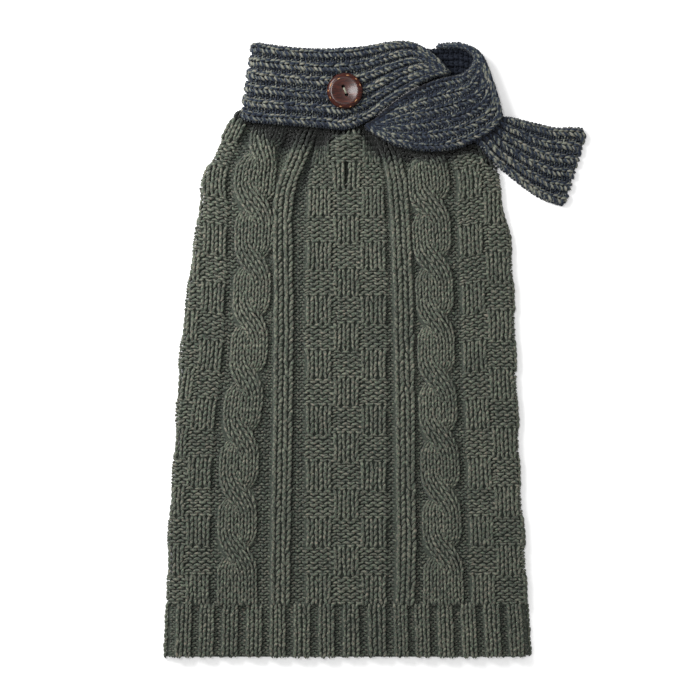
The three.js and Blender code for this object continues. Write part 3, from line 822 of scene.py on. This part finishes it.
def makeTintGroup():
    # the dyed fibres of a heather: some warmer and some cooler than the rest
    group = bpy.data.node_groups.new("Heather tints", "ShaderNodeTree")
    colour = group.interface.new_socket(name="Colour", in_out="INPUT", socket_type="NodeSocketColor")
    colour.default_value = (0.5, 0.5, 0.5, 1)
    addInputs(group, (("Scale", 700.0), ("Amount", 0.5)))
    group.interface.new_socket(name="Colour", in_out="OUTPUT", socket_type="NodeSocketColor")
    inside = group.nodes.new("NodeGroupInput")
    outside = group.nodes.new("NodeGroupOutput")
    position = group.nodes.new("ShaderNodeNewGeometry").outputs["Position"]
    noise = setNode(group, "ShaderNodeTexNoise", [("Vector", position), ("Scale", inside.outputs["Scale"])])
    noise.inputs["Detail"].default_value = 1
    tint = rampNode(group, noise.outputs["Fac"], [
        (0.34, (0.84, 1.05, 0.90)),
        (0.50, (1.0, 1.0, 1.0)),
        (0.66, (1.30, 0.99, 1.02)),
    ])
    blend = group.nodes.new("ShaderNodeMix")
    blend.data_type = "RGBA"
    blend.blend_type = "MULTIPLY"
    group.links.new(inside.outputs["Amount"], blend.inputs[0])
    group.links.new(inside.outputs["Colour"], blend.inputs[6])
    group.links.new(tint, blend.inputs[7])
    group.links.new(blend.outputs[2], outside.inputs["Colour"])
    return group


tintGroup = makeTintGroup()


def finishCloth(material, shader, height, look):
    tree = material.node_tree
    bump = setNode(tree, "ShaderNodeBump", [("Height", height)])
    bump.inputs["Strength"].default_value = look["bump"]
    bump.inputs["Distance"].default_value = 0.0004
    tree.links.new(bump.outputs["Normal"], shader.inputs["Normal"])
    shader.inputs["Roughness"].default_value = 0.9
    shader.inputs["Specular IOR Level"].default_value = 0.12
    shader.inputs["Sheen Weight"].default_value = look["sheen"]
    shader.inputs["Sheen Roughness"].default_value = 0.6
    return material


def yarnMaterial(name, look):
    # fibres of two shades spun together, and plies that can differ as a marl's do
    material, tree, shader = newMaterial(name)
    ply = setNode(tree, "ShaderNodeGroup", node_tree=plyGroup)
    ply.inputs["Twists"].default_value = look["twists"]
    ply.inputs["Strands"].default_value = look["strands"]
    ply.inputs["Fibre scale"].default_value = look["fibreScale"]
    position = tree.nodes.new("ShaderNodeNewGeometry").outputs["Position"]
    shade = 0.0
    # painted shade reaches the colour here, through each stitch's chance value, along with its random tone
    for source, weight in (
        (ply.outputs["Ply"], look["plyWeight"]),
        (ply.outputs["ChanceAndShade"], look["chanceAndShadeWeight"]),
        (noiseNode(tree, look["fleckScale"], 2, position), look["fleckWeight"]),
        (noiseNode(tree, look["cloudScale"], 1, position), look["cloudWeight"]),
    ):
        shade = mathNode(tree, "ADD", mathNode(tree, "MULTIPLY", source, weight), shade)
    tint = setNode(tree, "ShaderNodeGroup", node_tree=tintGroup)
    tree.links.new(rampNode(tree, shade, look["stops"]), tint.inputs["Colour"])
    tint.inputs["Scale"].default_value = look["tintScale"]
    tint.inputs["Amount"].default_value = look["tint"]
    tree.links.new(tint.outputs["Colour"], shader.inputs["Base Color"])
    return finishCloth(material, shader, ply.outputs["Height"], look)


def betweenMaterial(name, look):
    # the cloth seen between stitches: coloured darker than the yarn as painted shade, darker still where
    # its yarn attribute carries painted shade, and felted by fibre ends
    material, tree, shader = newMaterial(name)
    position = tree.nodes.new("ShaderNodeNewGeometry").outputs["Position"]
    felt = noiseNode(tree, look["feltScale"], 4, position)
    paintedShade = setNode(tree, "ShaderNodeSeparateXYZ", [
        ("Vector", setNode(tree, "ShaderNodeAttribute", attribute_name="yarn").outputs["Vector"]),
    ]).outputs["Z"]
    shade = mathNode(tree, "ADD", felt, mathNode(tree, "MULTIPLY", paintedShade, look["chanceAndShadeWeight"]))
    tree.links.new(rampNode(tree, shade, look["stops"]), shader.inputs["Base Color"])
    return finishCloth(material, shader, felt, look)


sageLook = {
    "twists": 1.4, "strands": 1.0, "fibreScale": 1200.0, "fleckScale": 760.0, "cloudScale": 26.0,
    "plyWeight": 0.20, "chanceAndShadeWeight": 0.20, "fleckWeight": 1.05, "cloudWeight": 0.04,
    "sheen": 0.12, "bump": 0.9, "tint": 0.9, "tintScale": 1000.0,
    "stops": [
        # the lowest stop is there for yarn darkened by painted shade
        (0.12, (0.004, 0.005, 0.004)),
        (0.40, (0.024, 0.031, 0.025)),
        (0.60, (0.054, 0.065, 0.051)),
        (0.76, (0.082, 0.093, 0.072)),
        (0.97, (0.148, 0.156, 0.120)),
    ],
}

marlLook = {
    "twists": 1.15, "strands": 2.0, "fibreScale": 1200.0, "fleckScale": 860.0, "cloudScale": 60.0,
    "plyWeight": 0.46, "chanceAndShadeWeight": 0.46, "fleckWeight": 0.56, "cloudWeight": 0.0,
    "sheen": 0.08, "bump": 0.6, "tint": 0.4, "tintScale": 1000.0,
    "stops": [
        # the lowest stop is there for yarn darkened by painted shade
        (0.02, (0.003, 0.004, 0.007)),
        (0.36, (0.009, 0.013, 0.024)),
        (0.66, (0.021, 0.030, 0.047)),
        (0.80, (0.096, 0.104, 0.088)),
        (1.05, (0.180, 0.180, 0.148)),
    ],
}

sageYarn = yarnMaterial("sageHeatherYarn", sageLook)
marlYarn = yarnMaterial("navyMarlYarn", marlLook)
sageBetween = betweenMaterial("sageClothBetween", {
    "feltScale": 700, "sheen": 0.05, "bump": 0.5, "chanceAndShadeWeight": 0.2,
    # the darkest stop is there for cloth darkened by painted shade
    "stops": [(0.05, (0.003, 0.004, 0.003)), (0.3, (0.024, 0.030, 0.025)), (0.75, (0.062, 0.071, 0.056))],
})
marlBetween = betweenMaterial("navyClothBetween", {
    "feltScale": 700, "sheen": 0.05, "bump": 0.5, "chanceAndShadeWeight": 0.0,
    "stops": [(0.3, (0.006, 0.008, 0.014)), (0.75, (0.022, 0.027, 0.038))],
})
# painted shade: a darker copy of the collar cloth's colour, used for the rear strand's yarn, which lies in
# shade
marlShade = betweenMaterial("navyShadedYarn", {
    "feltScale": 700, "sheen": 0.0, "bump": 0.5, "chanceAndShadeWeight": 0.0,
    "stops": [(0.3, (0.004, 0.005, 0.009)), (0.75, (0.016, 0.020, 0.029))],
})


def coconutMaterial():
    material, tree, shader = newMaterial("polishedCoconut")
    position = tree.nodes.new("ShaderNodeNewGeometry").outputs["Position"]
    stretched = setNode(tree, "ShaderNodeMapping", [("Vector", position)])
    stretched.inputs["Scale"].default_value = (1.0, 4.0, 1.0)
    stretched.inputs["Rotation"].default_value = (0, 0, 0.5)
    grain = noiseNode(tree, 260, 5, stretched.outputs["Vector"])
    tree.links.new(rampNode(tree, grain, [
        (0.35, (0.014, 0.003, 0.002)),
        (0.55, (0.036, 0.007, 0.004)),
        (0.75, (0.075, 0.016, 0.008)),
    ]), shader.inputs["Base Color"])
    shader.inputs["Roughness"].default_value = 0.3
    shader.inputs["Specular IOR Level"].default_value = 0.12
    shader.inputs["Coat Weight"].default_value = 0.25
    shader.inputs["Coat Roughness"].default_value = 0.14
    bump = setNode(tree, "ShaderNodeBump", [("Height", grain)])
    bump.inputs["Strength"].default_value = 0.05
    bump.inputs["Distance"].default_value = 0.0002
    tree.links.new(bump.outputs["Normal"], shader.inputs["Normal"])
    return material


def plainMaterial(name, colour, roughness, scale):
    material, tree, shader = newMaterial(name)
    position = tree.nodes.new("ShaderNodeNewGeometry").outputs["Position"]
    noise = noiseNode(tree, scale, 4, position)
    dark, light = [c * 0.6 for c in colour], [c * 1.3 for c in colour]
    tree.links.new(rampNode(tree, noise, [(0.3, dark), (0.7, light)]), shader.inputs["Base Color"])
    shader.inputs["Roughness"].default_value = roughness
    return material


coconut = coconutMaterial()
coconutGrain = plainMaterial("coconutGrainMark", (0.42, 0.20, 0.07), 0.4, 900)
sewingThread = plainMaterial("beigeThread", (0.26, 0.27, 0.20), 0.8, 2500)


# Body

def placeIn(piece):
    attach(piece, "root")
    return piece


def keepTubes(paths, radii, chanceAndShade, keep):
    return [paths[keep], radii[keep], chanceAndShade[keep]]


def visibleOnBody(paths):
    middle = paths[:, 2]
    edge = columnAt(collarEdge, "x", middle[:, 0], "y")
    return (middle[:, 1] < edge + 5) & (middle[:, 1] < body["neckEnd"] + 0.5) & (middle[:, 2] > 0.4)


def lowBody(wale, course, height):
    return bodyPoints(wale, course, height, under=True)


def kindAt(wale):
    if wale < 0 or wale >= waleCount:
        return "even"
    return groups[int(groupAt(np.array(wale + 0.5)))][0]


def bodyStitches():
    # the purl of gutters, also where a narrowed cable shows it, lies lower than the blocks' own
    pieces = []
    courses = np.arange(0, body["courses"])
    since = (courses + 0.5) / body["coursesPerBlock"] - pattern["crossingAt"]
    near = np.abs(since - np.round(since / pattern["crossingEvery"]) * pattern["crossingEvery"]) < 0.7
    spans = {
        "leftSideStitches": range(-edgeWales, 7),
        "leftCableStitches": range(7, 13),
        "leftRibStitches": range(13, 19),
        "centreStitches": range(19, 28),
        "rightRibStitches": range(28, 32),
        "rightCableStitches": range(32, 38),
        "rightSideStitches": range(38, waleCount + edgeWales),
    }
    for name, wales in spans.items():
        knits, purls, low = [np.zeros((0, 2))], [np.zeros((0, 2))], [np.zeros((0, 2))]
        for wale in wales:
            kind = kindAt(wale)
            knit = knitsAt(kind, courses // body["coursesPerBlock"])
            column = np.stack([np.full(len(courses), wale), courses], axis=1).astype(float)
            knits.append(column[knit])
            if kind == "gutter":
                low.append(column)
            elif kind == "cable" and wale in (wales[0], wales[-1]):
                low.append(column[near])
            else:
                purls.append(column[~knit])
        thick, lean = yarn["bodyRadius"], 0.8
        if "Cable" in name:
            thick, lean = yarn["cableRadius"], 0.9
        if "Rib" in name:
            thick, lean = yarn["ribRadius"], 0.9
        tubes = joinTubes([
            knitPaths(bodyPoints, np.concatenate(knits), thick, yarn["sageLook"], lean),
            purlPaths(bodyPoints, np.concatenate(purls), yarn["bodyRadius"], yarn["sageLook"]),
            # painted shade: gutter purl takes sageLow, which is darker
            purlPaths(lowBody, np.concatenate(low), yarn["lowRadius"], yarn["sageLow"]),
        ])
        tubes = keepTubes(*tubes, visibleOnBody(tubes[0]))
        # painted shade in creases and under the collar
        tubes[2] -= foldShade(tubes[0][:, 2])
        pieces.append(placeIn(yarnPiece(name, *tubes, sageYarn, yarn["sides"])))
    return pieces


def inSlit(points):
    along = np.abs(points[:, 1] - slit["y"]) / (slit["length"] / 2)
    return np.abs(points[:, 0] - slit["x"]) < 1.4 * (1 - along ** 2)


def clearBelow(top, under):
    # keeps deep gutters of the upper cloth off the belly beneath them
    left = columnAt(bodyLines, "y", under[..., 1], "left") + body["foldRadius"] + 1
    right = columnAt(bodyLines, "y", under[..., 1], "right") - body["foldRadius"] - 1
    flat = (under[..., 0] > left) & (under[..., 0] < right)
    under[..., 2] = np.where(flat, np.maximum(under[..., 2], belly["top"] + 0.1), under[..., 2])
    top[..., 2] = np.where(flat, np.maximum(top[..., 2], belly["top"] + 0.5), top[..., 2])


plainCloth = {  # levels are those of its face, from the middle of the yarn
    "level": -1.5,
    "sideLevel": -0.75,
    "bellyLevel": -0.5,
    "collarLevel": -1.2,
    "thickness": 0.8,
}


def fullerAt(wales, count):
    # plain cloth lies nearer the yarn at the sides, so nothing shows between their stitches
    past = smooth(np.maximum(-wales, wales - count), -1.0, 0.2)
    return mix(plainCloth["level"], plainCloth["sideLevel"], past)


def backCloth():
    beside = slit["wale"] + np.array([-0.36, -0.24, -0.12, 0.12, 0.24, 0.36])
    wales = np.sort(np.concatenate([np.arange(-2.5, waleCount + 2.51, 0.5), beside]))[None, :]
    courses = np.linspace(-0.4, body["courses"] - 0.6, 180)[:, None]
    height = fullerAt(wales, waleCount)
    top = bodyPoints(wales, courses, height)
    under = bodyPoints(wales, courses, height - plainCloth["thickness"])
    clearBelow(top, under)
    for grid in (top, under):
        grid[..., 1] = np.minimum(grid[..., 1], body["neckEnd"])
    # the back cloth gets the same painted shade in creases and under the collar
    piece = gridPiece("backCloth", top, under, sageBetween, inSlit, foldShade)
    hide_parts("back_panel")
    return placeIn(piece)


def hemPieces():
    wales = np.arange(-2, 3 * hem["ribs"] + 2)
    courses = np.arange(0, hem["courses"])
    places = np.array([[w, c] for w in wales for c in courses], float)
    knit = np.repeat((wales % 3) < 2, len(courses))

    def lowHem(wale, course, height):
        return hemPoints(wale, course, height, under=True)

    tubes = joinTubes([
        knitPaths(hemPoints, places[knit], yarn["bodyRadius"], yarn["sageLook"], 0.7),
        # painted shade: gutter purl takes sageLow, which is darker
        purlPaths(lowHem, places[~knit], yarn["lowRadius"], yarn["sageLow"]),
    ])
    tubes = keepTubes(*tubes, tubes[0][:, 2, 2] > 0.4)
    stitches = placeIn(yarnPiece("hemStitches", *tubes, sageYarn, yarn["sides"]))
    across = np.arange(-1.5, 3 * hem["ribs"] + 1.51, 0.25)[None, :]
    up = np.linspace(0, hem["courses"], 24)[:, None]
    height = fullerAt(across, 3 * hem["ribs"])
    top = hemPoints(across, up, height)
    under = hemPoints(across, up, height - plainCloth["thickness"])
    clearBelow(top, under)
    cloth = gridPiece("hemCloth", top, under, sageBetween)
    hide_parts("hem_rib")
    return placeIn(cloth), stitches


def bellyPieces():
    ribCourses = (body["hemTop"] - body["hemEnd"]) / belly["coursePitch"]
    courses = np.arange(0, int((body["neckEnd"] - body["hemEnd"]) / belly["coursePitch"]) - 1)
    wales = np.arange(0, belly["wales"])
    places = np.array([[w, c] for w in wales for c in courses], float)
    purl = (places[:, 0] % 3 == 1) & (places[:, 1] < ribCourses)
    tubes = joinTubes([
        knitPaths(bellyPoints, places[~purl], yarn["bellyRadius"], yarn["sageLook"]),
        purlPaths(bellyPoints, places[purl], yarn["bellyRadius"], yarn["sageLook"]),
    ])
    middle = tubes[0][:, 2]
    tubes = keepTubes(*tubes, holeDistance(middle[:, 0], middle[:, 1]) > 1.07)
    left = tubes[0][:, 2, 0] < 0
    stitches = []
    for name, half in (("leftBellyStitches", left), ("rightBellyStitches", ~left)):
        piece = yarnPiece(name, *keepTubes(*tubes, half), sageYarn, yarn["bellySides"])
        stitches.append(placeIn(piece))
    across = np.linspace(0, belly["wales"], 91)[None, :]
    up = np.linspace(-0.2, courses[-1] + 1, 130)[:, None]
    under = bellyPoints(across, up, plainCloth["bellyLevel"])
    top = under.copy()
    top[..., 2] = np.maximum(belly["top"], under[..., 2] + 0.1)

    def inHole(points):
        return holeDistance(points[:, 0], points[:, 1]) < 1

    cloth = gridPiece("bellyCloth", top, under, sageBetween, inHole)
    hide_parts("belly_panel")
    return placeIn(cloth), stitches


def holeEdging():
    # a bound edge of small loops round each leg hole
    steps = 84
    turn = 2 * np.pi * np.arange(steps) / steps
    paths = []
    for side in (-1, 1):
        tilt = side * legHoles["tilt"]
        for a in turn:
            ring = []
            for reach, z in ((1.13, 1.5), (1.08, 0.85), (1.02, 0.95), (0.99, 1.7), (1.02, 2.5)):
                u = legHoles["halfWidth"] * reach * math.cos(a)
                v = legHoles["halfLength"] * reach * math.sin(a)
                x = side * legHoles["x"] + u * math.cos(tilt) - v * math.sin(tilt)
                y = legHoles["y"] + u * math.sin(tilt) + v * math.cos(tilt)
                ring.append((x, y, z))
            paths.append(ring)
    paths = np.array(paths)
    radii = np.broadcast_to(np.array([0.5, 0.85, 0.85, 0.85, 0.5]), paths.shape[:2])
    piece = yarnPiece("legHoleEdging", paths, radii, rng.random(len(paths)), sageYarn, 5)
    return placeIn(piece)


def shadeBeside(points, sections):
    # painted shade: yarn close to the edge of the band that lies over it is coloured darker, as it would
    # catch less light there
    table = bandTable(sections)
    edge = bandRails(table, np.linspace(0, table["at"][-1], 160))[1]
    apart = np.linalg.norm(points[:, None, :2] - edge[None, :, :2], axis=-1).min(axis=1)
    return 1 - smooth(apart, 0.5, 7)


def bandPieces(name, sections, node):
    table = bandTable(sections)
    length = table["at"][-1]
    courses = np.arange(0, length / collar["coursePitch"] - 0.3)
    wales = np.arange(-2, 2 * collar["ribs"] + 1)
    places = np.array([[w, c] for w in wales for c in courses], float)
    ribs = (wales % 2 == 0) & (wales >= 0) & (wales < 2 * collar["ribs"])
    knit = np.repeat(ribs, len(courses))

    def cloth(wale, course, height):
        return bandPoints(table, wale, course, height)

    # painted shade: groove purl takes marlLow, darker than the ribs, and the rear strand, in shade inside
    # the collar's gap, takes marlShaded and the darker material
    shaded = name == "rear"
    look = yarn["marlShaded" if shaded else "marlLook"]
    lowLook = yarn["marlShaded" if shaded else "marlLow"]
    tubes = joinTubes([
        knitPaths(cloth, places[knit], yarn["collarRadius"], look, 1.1),
        purlPaths(cloth, places[~knit], yarn["grooveRadius"], lowLook),
    ])
    # painted shade: the whole loop a little darker and more so beside the front's edge, the tail darker
    # beside the loop's edge
    if name == "loop":
        tubes[2] -= 0.14 + 1.6 * shadeBeside(tubes[0][:, 2], frontSections)
    if name == "tail":
        tubes[2] -= 1.2 * shadeBeside(tubes[0][:, 2], loopSections)
    stitches = yarnPiece(name + "Stitches", *tubes, marlShade if shaded else marlYarn, yarn["sides"])
    across = np.linspace(-2, 2 * collar["ribs"] + 1, 43)[None, :]
    along = np.linspace(0, length / collar["coursePitch"], int(length / 1.8))[:, None]
    top = cloth(across, along, plainCloth["collarLevel"])
    under = cloth(across, along, plainCloth["collarLevel"] - plainCloth["thickness"])
    sheet = gridPiece(name + "Cloth", top, under, marlBetween)
    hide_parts(node)
    return placeIn(sheet), placeIn(stitches)


# Button

button = {
    "x": -1.8, "y": 180.3, "z": 12.7,
    "radius": 12.5,
    "holeRadius": 1.2,
    "holeOffset": 3.05,
    "holeTurn": 1.96,
    "profile": [
        (0.0, 3.5), (2.0, 3.52), (4.5, 3.62), (7.2, 3.82), (9.2, 3.95), (10.4, 3.85), (11.5, 3.3),
        (12.2, 2.5), (12.5, 1.7), (12.2, 0.8), (11.0, 0.1), (0.0, 0.0),
    ],
    "marks": [  # turn, reach and length of the pale marks in the shell
        (1.40, 0.87, 0.20), (2.05, 0.74, 0.24), (2.75, 0.84, 0.30), (3.6, 0.90, 0.14),
        (4.45, 0.90, 0.16), (5.55, 0.84, 0.24), (0.35, 0.90, 0.18), (0.80, 0.90, 0.12),
        (5.05, 0.94, 0.12), (3.15, 0.93, 0.12),
    ],
}


def buttonPieces():
    profile = np.array(button["profile"])
    around = 96
    turn = 2 * np.pi * np.arange(around) / around
    reach = np.interp(np.linspace(0, len(profile) - 1, 45), np.arange(len(profile)), profile[:, 0])
    lift = np.interp(np.linspace(0, len(profile) - 1, 45), np.arange(len(profile)), profile[:, 1])
    for step in range(3):
        reach[1:-1] = (reach[:-2] + 2 * reach[1:-1] + reach[2:]) / 4
        lift[1:-1] = (lift[:-2] + 2 * lift[1:-1] + lift[2:]) / 4
    reach = reach[1:-1]
    lift = lift[1:-1]
    rings = np.stack([
        button["x"] + reach[:, None] * np.cos(turn),
        button["y"] + reach[:, None] * np.sin(turn),
        button["z"] + np.broadcast_to(lift[:, None], (len(lift), around)),
    ], axis=-1)
    rows = len(lift)
    points = np.concatenate([
        rings.reshape(-1, 3),
        [[button["x"], button["y"], button["z"] + lift[0]], [button["x"], button["y"], button["z"]]],
    ])
    quads, caps = [], []
    for s in range(around):
        after = (s + 1) % around
        for r in range(rows - 1):
            low, high = r * around, (r + 1) * around
            quads.append([low + s, high + s, high + after, low + after])
        caps.append([rows * around, s, after])
        caps.append([rows * around + 1, (rows - 1) * around + after, (rows - 1) * around + s])
    disc = meshFrom("buttonDisc", points, np.array(quads), np.array(caps))
    disc.data.materials.append(coconut)
    for sign in (1, -1):
        place = holePlace(sign)
        bpy.ops.mesh.primitive_cylinder_add(
            vertices=24, radius=button["holeRadius"] * metres, depth=0.02,
            location=(place[0] * metres, place[1] * metres, button["z"] * metres),
        )
        cutter = bpy.context.object
        cut = disc.modifiers.new("hole", "BOOLEAN")
        cut.object = cutter
        cut.solver = "EXACT"
        bpy.context.view_layer.objects.active = disc
        bpy.ops.object.modifier_apply(modifier=cut.name)
        bpy.data.objects.remove(cutter)
    for polygon in disc.data.polygons:
        polygon.use_smooth = True
    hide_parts("button")
    placeIn(disc)
    paths = []
    for shift in (-0.3, 0.3):
        a, b = holePlace(1), holePlace(-1)
        aside = np.array([-(b - a)[1], (b - a)[0]]) / np.linalg.norm(b - a) * shift
        top = button["z"] + 3.5
        paths.append([
            (*(mix(a, b, 0.12) + aside * 0.6), top - 2.0),
            (*(mix(a, b, 0.2) + aside), top + 0.1),
            (*(mix(a, b, 0.5) + aside), top + 0.3),
            (*(mix(a, b, 0.8) + aside), top + 0.1),
            (*(mix(a, b, 0.88) + aside * 0.6), top - 2.0),
        ])
    paths = np.array(paths)
    radii = np.full(paths.shape[:2], 0.27)
    thread = yarnPiece("buttonThread", paths, radii, rng.random(len(paths)), sewingThread, 8)
    placeIn(thread)
    marks = []
    for a, reachShare, long in button["marks"]:
        turns = a + np.linspace(-long / 2, long / 2, 5)
        r = button["radius"] * reachShare + rng.normal(0, 0.15, 5)
        z = button["z"] + np.interp(r, profile[:9, 0], profile[:9, 1]) - 0.14
        x = button["x"] + r * np.cos(turns)
        y = button["y"] + r * np.sin(turns)
        marks.append(np.stack([x, y, z], axis=-1))
    marks = np.array(marks)
    radii = np.broadcast_to(np.array([0.15, 0.32, 0.38, 0.30, 0.14]), marks.shape[:2])
    placeIn(yarnPiece("buttonGrainMarks", marks, radii, rng.random(len(marks)), coconutGrain, 6))


def holePlace(sign):
    reach = sign * button["holeOffset"]
    return np.array([
        button["x"] + reach * math.cos(button["holeTurn"]),
        button["y"] + reach * math.sin(button["holeTurn"]),
    ])


print("body cloth")
backSheet = backCloth()
backYarn = bodyStitches()
hemSheet, hemYarn = hemPieces()
bellySheet, bellyYarn = bellyPieces()
edging = holeEdging()
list(bellyYarn)

print("collar")
collarParts = {
    "front": (frontSections, "scarf_front", (0.058, 0.155), 0.0072),
    "loop": (loopSections, "scarf_loop", (0.058, 0.150), 0.0052),
    "tail": (tailSections, "scarf_tail", (0.056, 0.080), 0.0036),
    "rear": (rearSections, "scarf_back", (0.028, 0.042), 0.00117),
}
for name, (sections, node, flat, area) in collarParts.items():
    sheet, stitches = bandPieces(name, sections, node)

print("button")
buttonPieces()
print("triangles", sum(counts.values()), counts)


# Floor, light and camera

lights = [
    {"name": "softboxAbove", "place": (-0.46, 0.43, 0.5), "size": 0.46, "power": 8.2},
    {"name": "overhead", "place": (-0.33, 0.376, 2.4), "size": 0.34, "power": 12},
]


def makeStage():
    mesh = bpy.data.meshes.new("surface")
    size = 4.0
    corners = [(-size, -size, 0), (size, -size, 0), (size, size, 0), (-size, size, 0)]
    mesh.from_pydata(corners, [], [(0, 1, 2, 3)])
    floor = bpy.data.objects.new("surface", mesh)
    bpy.context.scene.collection.objects.link(floor)
    material, tree, shader = newMaterial("paleSurface")
    shader.inputs["Base Color"].default_value = (0.92, 0.92, 0.92, 1)
    shader.inputs["Emission Color"].default_value = (1, 1, 1, 1)
    shader.inputs["Emission Strength"].default_value = 0.18
    shader.inputs["Roughness"].default_value = 0.8
    mesh.materials.append(material)


def makeLight(name, place, size, power):
    light = bpy.data.lights.new(name, "AREA")
    light.shape = "DISK"
    light.size = size
    light.energy = power
    lamp = bpy.data.objects.new(name, light)
    bpy.context.scene.collection.objects.link(lamp)
    lamp.location = place
    lamp.rotation_mode = "QUATERNION"
    lamp.rotation_quaternion = Vector(place).to_track_quat("Z", "Y")


def makeCamera():
    view = {"distance": 2.2, "span": 0.49, "x": 0.00175, "y": 0.0}
    lens = bpy.data.cameras.new("camera")
    lens.sensor_width = 36
    lens.lens = 36 * view["distance"] / view["span"]
    lens.clip_end = 20
    camera = bpy.data.objects.new("camera", lens)
    bpy.context.scene.collection.objects.link(camera)
    camera.location = (view["x"], view["y"], view["distance"])
    bpy.context.scene.camera = camera


makeStage()
for light in lights:
    makeLight(**light)
world = bpy.data.worlds.new("studio")
bpy.context.scene.world = world
world.use_nodes = True
world.node_tree.nodes["Background"].inputs["Color"].default_value = (1, 1, 1, 1)
world.node_tree.nodes["Background"].inputs["Strength"].default_value = 0.6
bpy.context.scene.view_settings.view_transform = "Standard"
makeCamera()
